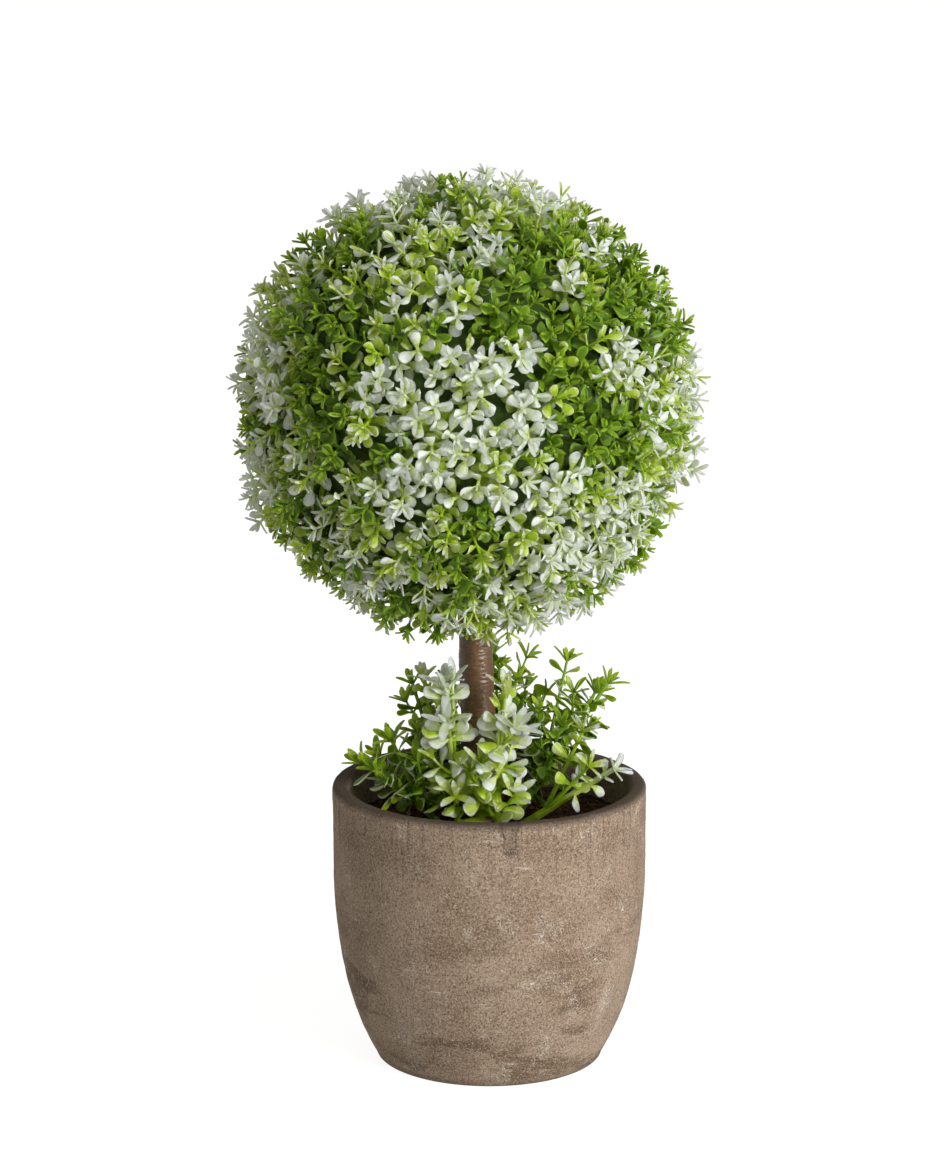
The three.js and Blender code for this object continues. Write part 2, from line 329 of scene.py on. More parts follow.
pot_points, pot_faces = turned(pot_profile(), POT_SIDES)
pot_push = waver(pot_points, POT_WAVER, POT_WAVER_SIZE) + waver(pot_points, POT_PITTING, POT_PITTING_SIZE)
off_the_foot = np.clip(pot_points[:, 2] / POT_EDGE_ROUND, 0, 1)
pot_reach = np.maximum(np.linalg.norm(pot_points[:, :2], axis=1), POT_WALL)
pot_points[:, :2] *= (1 + pot_push * off_the_foot / pot_reach)[:, None]
on_the_rim = np.clip((pot_points[:, 2] - POT_HEIGHT + 2 * POT_EDGE_ROUND) / (2 * POT_EDGE_ROUND), 0, 1)
pot_points[:, 2] += waver(pot_points, POT_WAVER, POT_WAVER_SIZE / 2) * on_the_rim
print("pot", round(2 * POT_RADIUS / MM, 1), "mm across and", round(POT_HEIGHT / MM, 1), "mm high")

# %% [markdown]
# ## The pot's finish
# The mix is cement with paper pulp. It is cast, and sanded by hand, and gives a dry, quite matt surface:
# a taupe ground in soft blotches, a close grain of short fibres and grit, pale scuffs and scratches, dark
# smears round the lower half, and a rim with a dark stain. Painted shade darkens the inside of the mouth,
# and a painted shadow the edge of the foot. Each is one noise at its own size in millimetres, drawn by
# its own function and laid over the last. The dark chip at the front of the rim has its own place, so it
# is drawn from the distance to that place.

# %% Ground and smears of the cement
SMEAR_LOW = 34 * MM
SMEAR_HIGH = 62 * MM


def blotched_ground(tree, blotch):
    """The taupe ground, in soft blotches."""
    share = add_node(tree, "ShaderNodeMapRange", {"Value": blotch, "From Min": 0.34, "From Max": 0.66})
    ground = add_node(tree, "ShaderNodeMix", {
        MIX_SHARE: share.outputs["Result"],
        MIX_FIRST: linear("#967f6a"), MIX_SECOND: linear("#b39c87"),
    }, data_type="RGBA")
    return ground.outputs[MIX_RESULT]


def smears_over(ground, tree, place, height):
    """Dark smears that run round the lower half."""
    flat = add_node(tree, "ShaderNodeMapping", {"Vector": place, "Scale": (0.28, 0.28, 1.0)})
    smear = add_node(tree, "ShaderNodeTexNoise", {
        "Vector": flat.outputs["Vector"], "Scale": per_mm(9), "Detail": 4.0, "Roughness": 0.55,
    })
    smear_share = add_node(tree, "ShaderNodeMapRange", {
        "Value": smear.outputs["Fac"], "From Min": 0.52, "From Max": 0.61, "To Max": 0.62,
    })
    low_share = add_node(tree, "ShaderNodeMapRange", {
        "Value": height, "From Min": SMEAR_HIGH, "From Max": SMEAR_LOW, "To Min": 0.25,
    })
    smeared = add_node(tree, "ShaderNodeMath", {
        0: smear_share.outputs["Result"], 1: low_share.outputs["Result"],
    }, operation="MULTIPLY")
    ground = add_node(tree, "ShaderNodeMix", {
        MIX_SHARE: smeared.outputs["Value"], MIX_FIRST: ground, MIX_SECOND: linear("#634d38"),
    }, data_type="RGBA")
    return ground.outputs[MIX_RESULT]


print("smears thin out from", round(SMEAR_LOW / MM), "to", round(SMEAR_HIGH / MM), "mm up the pot")

# %% Streaks and grain of the cement
STREAK_DEPTH = 34 * MM


def streaks_over(ground, tree, place, height):
    """Faint upright streaks below the rim."""
    comb = add_node(tree, "ShaderNodeMapping", {"Vector": place, "Scale": (1.0, 1.0, 0.05)})
    streak = add_node(tree, "ShaderNodeTexNoise", {
        "Vector": comb.outputs["Vector"], "Scale": per_mm(1.6), "Detail": 2.0,
    })
    streak_share = add_node(tree, "ShaderNodeMapRange", {
        "Value": streak.outputs["Fac"], "From Min": 0.52, "From Max": 0.7, "To Max": 0.6,
    })
    high_share = add_node(tree, "ShaderNodeMapRange", {
        "Value": height, "From Min": POT_HEIGHT - STREAK_DEPTH, "From Max": POT_HEIGHT,
    })
    streaked = add_node(tree, "ShaderNodeMath", {
        0: streak_share.outputs["Result"], 1: high_share.outputs["Result"],
    }, operation="MULTIPLY")
    ground = add_node(tree, "ShaderNodeMix", {
        MIX_SHARE: streaked.outputs["Value"], MIX_FIRST: ground, MIX_SECOND: linear("#5c4c3e"),
    }, data_type="RGBA")
    return ground.outputs[MIX_RESULT]


def grain_over(ground, tree, grain):
    """Short fibres and grit, dark ones and then pale ones."""
    dark_grain = add_node(tree, "ShaderNodeMapRange", {
        "Value": grain, "From Min": 0.5, "From Max": 0.32, "To Max": 0.8,
    })
    darker = add_node(tree, "ShaderNodeMix", {
        MIX_SHARE: dark_grain.outputs["Result"], MIX_FIRST: ground, MIX_SECOND: linear("#4a3c30"),
    }, data_type="RGBA")
    pale_grain = add_node(tree, "ShaderNodeMapRange", {
        "Value": grain, "From Min": 0.54, "From Max": 0.7, "To Max": 0.75,
    })
    paler = add_node(tree, "ShaderNodeMix", {
        MIX_SHARE: pale_grain.outputs["Result"],
        MIX_FIRST: darker.outputs[MIX_RESULT], MIX_SECOND: linear("#d1bfa6"),
    }, data_type="RGBA")
    return paler.outputs[MIX_RESULT]


print("streaks reach", round(STREAK_DEPTH / MM), "mm down from the rim")

# %% Scuffs and scratches of the cement
SCRATCH_TILT = 0.22


def scuffs_over(ground, tree, place):
    """Pale scuffs: thin bent streaks, where a noise passes through its middle value."""
    scuff_place = add_node(tree, "ShaderNodeTexNoise", {
        "Vector": place, "Scale": per_mm(11), "Detail": 1.0,
    })
    scuff_line = add_node(tree, "ShaderNodeTexNoise", {
        "Vector": place, "Scale": per_mm(3.6), "Detail": 1.0, "Distortion": 2.0,
    })
    off_line = add_node(tree, "ShaderNodeMath", {
        0: scuff_line.outputs["Fac"], 1: 0.5,
    }, operation="SUBTRACT")
    from_line = add_node(tree, "ShaderNodeMath", {0: off_line.outputs["Value"]}, operation="ABSOLUTE")
    thin_line = add_node(tree, "ShaderNodeMapRange", {
        "Value": from_line.outputs["Value"], "From Min": 0.022, "From Max": 0.008, "To Max": 0.9,
    })
    few_places = add_node(tree, "ShaderNodeMapRange", {
        "Value": scuff_place.outputs["Fac"], "From Min": 0.6, "From Max": 0.66,
    })
    scuffed = add_node(tree, "ShaderNodeMath", {
        0: thin_line.outputs["Result"], 1: few_places.outputs["Result"],
    }, operation="MULTIPLY")
    ground = add_node(tree, "ShaderNodeMix", {
        MIX_SHARE: scuffed.outputs["Value"], MIX_FIRST: ground, MIX_SECOND: linear("#d8d0c2"),
    }, data_type="RGBA")
    return ground.outputs[MIX_RESULT]


def scratches_over(ground, tree, place):
    """Straight pale scratches: a noise drawn out along a line that tilts a little."""
    drawn_out = add_node(tree, "ShaderNodeMapping", {
        "Vector": place, "Rotation": (0.0, SCRATCH_TILT, 0.0), "Scale": (0.1, 0.1, 1.0),
    })
    scratch = add_node(tree, "ShaderNodeTexNoise", {
        "Vector": drawn_out.outputs["Vector"], "Scale": per_mm(1.1),
    })
    scratch_line = add_node(tree, "ShaderNodeMapRange", {
        "Value": scratch.outputs["Fac"], "From Min": 0.69, "From Max": 0.75, "To Max": 0.85,
    })
    scratch_place = add_node(tree, "ShaderNodeTexNoise", {
        "Vector": place, "Scale": per_mm(17), "Detail": 1.0,
    })
    some_places = add_node(tree, "ShaderNodeMapRange", {
        "Value": scratch_place.outputs["Fac"], "From Min": 0.5, "From Max": 0.58,
    })
    scratched = add_node(tree, "ShaderNodeMath", {
        0: scratch_line.outputs["Result"], 1: some_places.outputs["Result"],
    }, operation="MULTIPLY")
    ground = add_node(tree, "ShaderNodeMix", {
        MIX_SHARE: scratched.outputs["Value"], MIX_FIRST: ground, MIX_SECOND: linear("#dcd5c8"),
    }, data_type="RGBA")
    return ground.outputs[MIX_RESULT]


print("scratches tilt by", round(math.degrees(SCRATCH_TILT)), "degrees")

# %% Stains and painted shade of the cement
RIM_STAIN_DEPTH = 2.4 * MM
# Heights of the painted contact shadow at the foot and of the painted shade inside the mouth
FOOT_SHADOW_HEIGHT = 3.5 * MM
INSIDE_SHADE_LOW = POT_HEIGHT * 0.5
INSIDE_SHADE_HIGH = POT_HEIGHT * 0.7


def stains_and_shade_over(ground, tree, axes):
    """A dark stain on the rim, painted shade inside the mouth and a painted shadow along the foot."""
    rim_share = add_node(tree, "ShaderNodeMapRange", {
        "Value": axes["Z"], "From Min": POT_HEIGHT - RIM_STAIN_DEPTH, "From Max": POT_HEIGHT,
        "To Max": 0.85,
    })
    across = add_node(tree, "ShaderNodeCombineXYZ", {"X": axes["X"], "Y": axes["Y"]})
    from_axis = add_node(tree, "ShaderNodeVectorMath", {0: across.outputs["Vector"]}, operation="LENGTH")
    # Painted shade on the inside wall of the mouth
    inside_shade_share = add_node(tree, "ShaderNodeMapRange", {
        "Value": from_axis.outputs["Value"], "From Min": POT_RADIUS - POT_WALL / 2,
        "From Max": POT_RADIUS - POT_WALL, "To Max": 0.25,
    })
    above_foot = add_node(tree, "ShaderNodeMapRange", {
        "Value": axes["Z"], "From Min": INSIDE_SHADE_LOW, "From Max": INSIDE_SHADE_HIGH,
    })
    inside_shade = add_node(tree, "ShaderNodeMath", {
        0: inside_shade_share.outputs["Result"], 1: above_foot.outputs["Result"],
    }, operation="MULTIPLY")
    # A painted contact shadow along the edge of the foot
    foot_shadow_share = add_node(tree, "ShaderNodeMapRange", {
        "Value": axes["Z"], "From Min": FOOT_SHADOW_HEIGHT, "From Max": 0.0, "To Max": 0.6,
    })
    # The rim's stain, and the painted shadow at the foot
    ends = add_node(tree, "ShaderNodeMath", {
        0: rim_share.outputs["Result"], 1: foot_shadow_share.outputs["Result"],
    }, operation="MAXIMUM")
    stain_and_shade = add_node(tree, "ShaderNodeMath", {
        0: ends.outputs["Value"], 1: inside_shade.outputs["Value"],
    }, operation="MAXIMUM")
    # One dark brown for the rim's stain, the painted shade inside and the painted shadow at the foot
    ground = add_node(tree, "ShaderNodeMix", {
        MIX_SHARE: stain_and_shade.outputs["Value"], MIX_FIRST: ground, MIX_SECOND: linear("#4b3f36"),
    }, data_type="RGBA")
    return ground.outputs[MIX_RESULT]


print("stains cover", round(RIM_STAIN_DEPTH / MM, 1), "mm below the rim")

# %% Cracks of the chip
CHIP_LOW = 89 * MM
CHIP_FADE = 1.5 * MM
CHIP_HALF_WIDTH = 2.8 * MM


def chip_cracks(tree, height, off):
    """How dark the chip's two cracks and the shade between them are."""
    half = add_node(tree, "ShaderNodeMapRange", {
        "Value": height, "From Min": CHIP_LOW, "From Max": POT_HEIGHT,
        "To Min": CHIP_HALF_WIDTH / 2, "To Max": CHIP_HALF_WIDTH,
    })
    away = add_node(tree, "ShaderNodeMath", {0: off}, operation="ABSOLUTE")
    ratio = add_node(tree, "ShaderNodeMath", {
        0: away.outputs["Value"], 1: half.outputs["Result"],
    }, operation="DIVIDE")
    crack_off = add_node(tree, "ShaderNodeMath", {0: ratio.outputs["Value"], 1: 1.0}, operation="SUBTRACT")
    crack_away = add_node(tree, "ShaderNodeMath", {0: crack_off.outputs["Value"]}, operation="ABSOLUTE")
    crack = add_node(tree, "ShaderNodeMapRange", {
        "Value": crack_away.outputs["Value"], "From Min": 0.4, "From Max": 0.05, "To Max": 0.7,
    })
    between = add_node(tree, "ShaderNodeMapRange", {
        "Value": ratio.outputs["Value"], "From Min": 1.1, "From Max": 0.8, "To Max": 0.35,
    })
    either = add_node(tree, "ShaderNodeMath", {
        0: crack.outputs["Result"], 1: between.outputs["Result"],
    }, operation="MAXIMUM")
    above_point = add_node(tree, "ShaderNodeMapRange", {
        "Value": height, "From Min": CHIP_LOW, "From Max": CHIP_LOW + CHIP_FADE,
    })
    cracks = add_node(tree, "ShaderNodeMath", {
        0: either.outputs["Value"], 1: above_point.outputs["Result"],
    }, operation="MULTIPLY")
    return cracks.outputs["Value"]


print("the chip is about", round(2 * CHIP_HALF_WIDTH / MM, 1), "mm wide at the rim")

# %% Chip of the cement
CHIP_X = 6.8 * MM
CHIP_WANDER = 1.8 * MM
CHIP_POINT = 2.0 * MM
CHIP_POINT_BREADTH = 0.6
CHIP_RAGGED = 5.0 * MM


def chip_point(tree, height, off, grain):
    """How dark the ragged point is, where the cracks meet."""
    broadened = add_node(tree, "ShaderNodeMath", {0: off, 1: CHIP_POINT_BREADTH}, operation="MULTIPLY")
    wandered = add_node(tree, "ShaderNodeCombineXYZ", {"X": broadened.outputs["Value"], "Z": height})
    from_point = add_node(tree, "ShaderNodeVectorMath", {
        0: wandered.outputs["Vector"], 1: (0.0, 0.0, CHIP_LOW),
    }, operation="DISTANCE")
    ragged = add_node(tree, "ShaderNodeMath", {
        0: grain, 1: CHIP_RAGGED, 2: from_point.outputs["Value"],
    }, operation="MULTIPLY_ADD")
    point = add_node(tree, "ShaderNodeMapRange", {
        "Value": ragged.outputs["Value"], "From Min": CHIP_RAGGED / 2 + CHIP_POINT,
        "From Max": CHIP_RAGGED / 2 + CHIP_POINT / 3, "To Max": 0.7,
    })
    return point.outputs["Result"]


def chip_over(ground, tree, place, axes, grain):
    """One chip under the front of the rim: two thin dark cracks that meet in a dark point."""
    wander = add_node(tree, "ShaderNodeTexNoise", {"Vector": place, "Scale": per_mm(2.5), "Detail": 3.0})
    middle = add_node(tree, "ShaderNodeMapRange", {
        "Value": wander.outputs["Fac"], "To Min": CHIP_X - CHIP_WANDER, "To Max": CHIP_X + CHIP_WANDER,
    })
    off = add_node(tree, "ShaderNodeMath", {
        0: axes["X"], 1: middle.outputs["Result"],
    }, operation="SUBTRACT").outputs["Value"]
    whole = add_node(tree, "ShaderNodeMath", {
        0: chip_cracks(tree, axes["Z"], off), 1: chip_point(tree, axes["Z"], off, grain),
    }, operation="MAXIMUM")
    in_front = add_node(tree, "ShaderNodeMath", {0: axes["Y"], 1: 0.0}, operation="LESS_THAN")
    chip = add_node(tree, "ShaderNodeMath", {
        0: whole.outputs["Value"], 1: in_front.outputs["Value"],
    }, operation="MULTIPLY")
    ground = add_node(tree, "ShaderNodeMix", {
        MIX_SHARE: chip.outputs["Value"], MIX_FIRST: ground, MIX_SECOND: linear("#43382f"),
    }, data_type="RGBA")
    return ground.outputs[MIX_RESULT]


print("the chip reaches", round((POT_HEIGHT - CHIP_LOW) / MM, 1), "mm down from the rim")


# %% Cast fibre cement
def cast_fibre_cement():
    """Cement and paper pulp, cast and sanded: matt and dry, with fibres, grit, scuffs and smears."""
    material, tree, shader, place = start_material("cast_fibre_cement")
    axes = add_node(tree, "ShaderNodeSeparateXYZ", {"Vector": place}).outputs
    blotch = add_node(tree, "ShaderNodeTexNoise", {
        "Vector": place, "Scale": per_mm(26), "Detail": 5.0, "Roughness": 0.62,
    }).outputs["Fac"]

    # The grain is drawn a little coarser than the real one so that it shows
    grain = add_node(tree, "ShaderNodeTexNoise", {
        "Vector": place, "Scale": per_mm(0.62), "Detail": 2.0, "Roughness": 0.65, "Distortion": 0.6,
    }).outputs["Fac"]

    # Each layer goes over the last
    ground = blotched_ground(tree, blotch)
    ground = smears_over(ground, tree, place, axes["Z"])
    ground = streaks_over(ground, tree, place, axes["Z"])
    ground = grain_over(ground, tree, grain)
    ground = scuffs_over(ground, tree, place)
    ground = scratches_over(ground, tree, place)
    # The rim's stain, with painted shade inside the mouth and a painted shadow at the foot
    ground = stains_and_shade_over(ground, tree, axes)
    ground = chip_over(ground, tree, place, axes, grain)

    # Dry and matt all over, a little smoother where it is rubbed
    rough = add_node(tree, "ShaderNodeMapRange", {"Value": blotch, "To Min": 0.95, "To Max": 0.8})
    bump = add_node(tree, "ShaderNodeBump", {"Height": grain, "Strength": 0.55, "Distance": 0.35 * MM})
    wire(tree, shader, {
        "Base Color": ground,
        "Roughness": rough.outputs["Result"],
        "Normal": bump.outputs["Normal"],
        "IOR": 1.5,
        "Specular IOR Level": 0.25,
    })
    return material


piece_from("pot_shell", pot_points, pot_faces, [cast_fibre_cement()], "pot", "pot")

# %% [markdown]
# ## The fill
# What shows in the pot is coir, the brown fibre of coconut husk, as loose crumbs over light filler. A
# turned plug with a rough top carries it, and some thousands of angular crumbs are strewn over that. One
# crumb is a ball of twenty faces, squeezed and turned by seeded numbers, and all of them are joined in
# one mesh, because thousands of objects would be slow. The crumbs keep clear of the stem.

# %% Coir
FILL_SIDES = 120
FILL_RINGS = 34
FILL_GAP = 0.3 * MM
FILL_SUNK = 1.1 * MM
FILL_HEAP = 0.8 * MM
FILL_HEAP_SIZE = 5 * MM
FILL_SKIRT = 20 * MM

FILL_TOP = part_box("fill")[1].z
FILL_RADIUS = pot_radius(FILL_TOP) - POT_WALL - FILL_GAP


def fill_profile():
    """A plug with a flat bottom and a fine grid of rings on top."""
    bottom = FILL_TOP - FILL_SKIRT
    rim = FILL_TOP - FILL_SUNK
    low_radius = pot_radius(bottom) - POT_WALL - 2 * FILL_GAP
    rings = [(FILL_RADIUS * (FILL_RINGS - k) / FILL_RINGS, rim) for k in range(FILL_RINGS)]
    return [(0, bottom), (low_radius, bottom)] + rings + [(0, rim)]


def heaped(points):
    """How far the fill's soft heaps lift each point."""
    return waver(points, FILL_HEAP, FILL_HEAP_SIZE) + waver(points, FILL_HEAP / 2, FILL_HEAP_SIZE / 4)


def coir(name, dark, light):
    """Coconut fibre: matt brown crumbs with paler fibre ends."""
    material, tree, shader, place = start_material(name)
    crumb = add_node(tree, "ShaderNodeTexVoronoi", {"Vector": place, "Scale": per_mm(1.2)})
    fibre = add_node(tree, "ShaderNodeTexNoise", {"Vector": place, "Scale": per_mm(0.8), "Detail": 3.0})
    share = add_node(tree, "ShaderNodeMath", {
        0: crumb.outputs["Distance"], 1: fibre.outputs["Fac"],
    }, operation="MULTIPLY")
    colour = add_node(tree, "ShaderNodeMix", {
        MIX_SHARE: share.outputs["Value"], MIX_FIRST: linear(dark), MIX_SECOND: linear(light),
    }, data_type="RGBA")
    rough = add_node(tree, "ShaderNodeMapRange", {
        "Value": fibre.outputs["Fac"], "To Min": 0.8, "To Max": 1.0,
    })
    bump = add_node(tree, "ShaderNodeBump", {
        "Height": crumb.outputs["Distance"], "Strength": 0.8, "Distance": 0.5 * MM,
    })
    wire(tree, shader, {
        "Base Color": colour.outputs[MIX_RESULT],
        "Roughness": rough.outputs["Result"],
        "Normal": bump.outputs["Normal"],
        "IOR": 1.5,
        "Specular IOR Level": 0.2,
    })
    return material


fill_points, fill_faces = turned(fill_profile(), FILL_SIDES)
on_top = fill_points[:, 2] > FILL_TOP - FILL_SKIRT / 2
fill_points[:, 2] += heaped(fill_points) * on_top
coir_shades = [
    coir("coir_dark", "#2d1b12", "#4b301f"),
    coir("coir_brown", "#482d1d", "#6d4a32"),
    coir("coir_pale", "#684730", "#97704e"),
]
piece_from("fill_top", fill_points, fill_faces, coir_shades[:1], "fill", "fill")

# %% [markdown]
# ## The stem's line
# The stem leans two degrees to the left, from its foot near the pot's axis to the ball's centre.
# Everything that has to keep clear of it asks the same two functions: where its axis is at a height, and
# how far a point stands off its surface.

# %% Stem's line
CROWN_CENTRE = Vector((-7.8, 0, 232)) * MM
TRUNK_FOOT_X = -2.6 * MM
TRUNK_FOOT_RADIUS = 6.3 * MM
TRUNK_FLARE = 0.5 * MM
TRUNK_FLARE_HEIGHT = 6 * MM
TRUNK_NECK_RADIUS = 5.9 * MM
TRUNK_NECK = 152 * MM
TRUNK_TIP_RADIUS = 5.2 * MM

TRUNK_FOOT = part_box("trunk")[0].z
TRUNK_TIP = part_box("trunk")[1].z
TRUNK_SLOPE = (CROWN_CENTRE.x - TRUNK_FOOT_X) / (CROWN_CENTRE.z - TRUNK_FOOT)


def trunk_x(height):
    """Where the stem's axis is at a height."""
    return TRUNK_FOOT_X + TRUNK_SLOPE * (height - TRUNK_FOOT)


def off_trunk(point):
    """How far a point stands off the stem's surface."""
    return math.hypot(point[0] - trunk_x(point[2]), point[1]) - TRUNK_FOOT_RADIUS - TRUNK_FLARE


print("the stem runs from", round(TRUNK_FOOT / MM, 1), "to", round(TRUNK_TIP / MM, 1), "mm")

# %% Crumbs
CRUMBS = 3000
CRUMB_SIZES = (0.35 * MM, 1.15 * MM)
CRUMB_SQUEEZE = ((0.7, 1.5), (0.6, 1), (0.4, 0.8))
CRUMB_SEED = 5
# Which of the coir's shades a crumb may have, as often as it should come
CRUMB_SHADES = (0, 0, 1, 1, 1, 2)


def one_crumb():
    """Points and faces of a ball with twenty faces."""
    ball = bmesh.new()
    bmesh.ops.create_icosphere(ball, subdivisions=1, radius=1.0)
    points = np.array([corner.co for corner in ball.verts])
    faces = np.array([[corner.index for corner in face.verts] for face in ball.faces])
    ball.free()
    return points, faces


def strewn_places(draw):
    """Where each crumb lies: even over the fill, clear of the stem and the wall."""
    places = []
    while len(places) < CRUMBS:
        size = draw.uniform(*CRUMB_SIZES)
        away = (FILL_RADIUS - 2 * size) * math.sqrt(draw.random())
        turn = draw.uniform(0, 2 * math.pi)
        spot = Vector((away * math.cos(turn), away * math.sin(turn), FILL_TOP - FILL_SUNK))
        spot.z += heaped([spot])[0]
        if off_trunk((spot.x, spot.y, TRUNK_FOOT)) > size:
            places.append((spot, size))
    return places


def crumb_arrays():
    """The joined points, faces and shades of all crumbs."""
    draw = random.Random(CRUMB_SEED)
    ball, ball_faces = one_crumb()
    points, faces, shades = [], [], []
    for spot, size in strewn_places(draw):
        turn = Matrix.Rotation(draw.uniform(0, 2 * math.pi), 3, Vector((draw.random(), draw.random(), 1)))
        squeeze = Matrix.Diagonal([draw.uniform(*limits) for limits in CRUMB_SQUEEZE])
        faces.append(ball_faces + len(points) * len(ball))
        points.append(ball @ np.array(turn @ squeeze).T * size + np.array(spot))
        shades += [draw.choice(CRUMB_SHADES)] * len(ball_faces)
    return np.concatenate(points), np.concatenate(faces), shades


crumb_points, crumb_faces, crumb_shades = crumb_arrays()
piece_from("fill_crumbs", crumb_points, crumb_faces, coir_shades, "fill", "fill", crumb_shades, crease=20)

# %% [markdown]
# ## The stem
# The stem is a rod in a sleeve of soft plastic that is embossed like bark: fine wrinkles that run round
# it, with lumps between, and a thin sheen that catches the lamp in a broken upright row of glints. The
# wrinkles are real relief here. Noise that is stretched round the stem, so that it changes quickly along
# it and slowly across, moves each point of a fine lathe in or out.

# %% Embossed bark
def embossed_bark():
    """Soft PVC, embossed as bark: brown in streaks, with painted shade in its folds, and a satin sheen."""
    material, tree, shader, place = start_material("embossed_pvc_bark")
    tall = add_node(tree, "ShaderNodeMapping", {"Vector": place, "Scale": (1.0, 1.0, 0.25)})
    streak = add_node(tree, "ShaderNodeTexNoise", {
        "Vector": tall.outputs["Vector"], "Scale": per_mm(3.5), "Detail": 4.0, "Roughness": 0.6,
    })
    streak_share = add_node(tree, "ShaderNodeMapRange", {
        "Value": streak.outputs["Fac"], "From Min": 0.32, "From Max": 0.68,
    })
    brown = add_node(tree, "ShaderNodeMix", {
        MIX_SHARE: streak_share.outputs["Result"],
        MIX_FIRST: linear("#5c4128"), MIX_SECOND: linear("#7f5b39"),
    }, data_type="RGBA")
    wide = add_node(tree, "ShaderNodeMapping", {"Vector": place, "Scale": (0.35, 0.35, 1.0)})
    fold = add_node(tree, "ShaderNodeTexNoise", {
        "Vector": wide.outputs["Vector"], "Scale": per_mm(0.7), "Detail": 3.0, "Roughness": 0.6,
    })
    # Painted shade where the folds sink in
    fold_shade_share = add_node(tree, "ShaderNodeMapRange", {
        "Value": fold.outputs["Fac"], "From Min": 0.5, "From Max": 0.3, "To Max": 0.8,
    })
    brown = add_node(tree, "ShaderNodeMix", {
        MIX_SHARE: fold_shade_share.outputs["Result"],
        MIX_FIRST: brown.outputs[MIX_RESULT], MIX_SECOND: linear("#3a2718"),
    }, data_type="RGBA")
    rough = add_node(tree, "ShaderNodeMapRange", {
        "Value": streak.outputs["Fac"], "To Min": 0.3, "To Max": 0.5,
    })
    bump = add_node(tree, "ShaderNodeBump", {
        "Height": fold.outputs["Fac"], "Strength": 0.5, "Distance": 0.3 * MM,
    })
    wire(tree, shader, {
        "Base Color": brown.outputs[MIX_RESULT],
        "Roughness": rough.outputs["Result"],
        "Normal": bump.outputs["Normal"],
        "IOR": 1.53,
        "Coat Weight": 0.4,
        "Coat Roughness": 0.1,
        "Coat Normal": bump.outputs["Normal"],
    })
    return material


bark = embossed_bark()
print("made", bark.name)

# %% Stem
TRUNK_SIDES = 84
TRUNK_RING_STEP = 0.3 * MM
WRINKLE_DEPTH = 0.2 * MM
WRINKLE_LENGTH = 3.2 * MM
WRINKLE_HEIGHT = 1.0 * MM
WRINKLE_LEVEL = 0.6
LUMP_DEPTH = 0.4 * MM
LUMP_SIZE = 9 * MM


def trunk_radius(height):
    """The stem's radius at a height, with the slight flare at its foot."""
    if height < TRUNK_FOOT + TRUNK_FLARE_HEIGHT:
        share = (height - TRUNK_FOOT) / TRUNK_FLARE_HEIGHT
        return TRUNK_FOOT_RADIUS + TRUNK_FLARE * (1 - share) ** 2
    stations = (TRUNK_FOOT + TRUNK_FLARE_HEIGHT, TRUNK_NECK, TRUNK_TIP)
    return float(np.interp(height, stations, (TRUNK_FOOT_RADIUS, TRUNK_NECK_RADIUS, TRUNK_TIP_RADIUS)))


def wrinkle(point):
    """How far the bark's relief moves a point of the stem."""
    stretched = Vector((point[0] / WRINKLE_LENGTH, point[1] / WRINKLE_LENGTH, point[2] / WRINKLE_HEIGHT))
    ridge = 1 - 2 * abs(noise.noise(stretched))
    lump = noise.noise(Vector(point) / LUMP_SIZE)
    return WRINKLE_DEPTH * (ridge - WRINKLE_LEVEL) + LUMP_DEPTH * lump


def stem_arrays():
    """The stem as a lathe about its leaning line, with the bark's relief."""
    rings = math.ceil((TRUNK_TIP - TRUNK_FOOT) / TRUNK_RING_STEP)
    heights = np.linspace(TRUNK_FOOT, TRUNK_TIP, rings + 1)
    profile = [(0, TRUNK_FOOT)] + [(trunk_radius(z), z) for z in heights] + [(0, TRUNK_TIP)]
    points, faces = turned(profile, TRUNK_SIDES)
    reach = np.linalg.norm(points[:, :2], axis=1)
    push = np.array([wrinkle(point) for point in points])
    points[:, :2] *= np.where(reach > 0, 1 + push / np.maximum(reach, MM), 1)[:, None]
    points[:, 0] += trunk_x(points[:, 2])
    return points, faces


piece_from("stem_bark", *stem_arrays(), [bark], "trunk", "trunk")

# %% [markdown]
# ## Leaf plastic
# The sprigs are moulded from polyethylene and tinted by hand: white tips, ivory and lime further down,
# green at the foot. It is a satin, slightly waxy plastic. Each tint is its own material with one plain
# colour, and a leaf's faces take theirs by where they lie on the leaf, so that the tints stay in place on
# every leaf, however many of them are joined in one mesh. A faint unevenness of sheen and surface comes
# from noise.

# %% Moulded polyethylene
LEAF_TINTS = (
    ("deep_green", "#40560c"),
    ("leaf_green", "#628613"),
    ("fresh_green", "#84a822"),
    ("lime", "#a5c229"),
    ("pale_lime", "#bed066"),
    ("ivory", "#d8e6b8"),
    ("white", "#ecf3e3"),
)


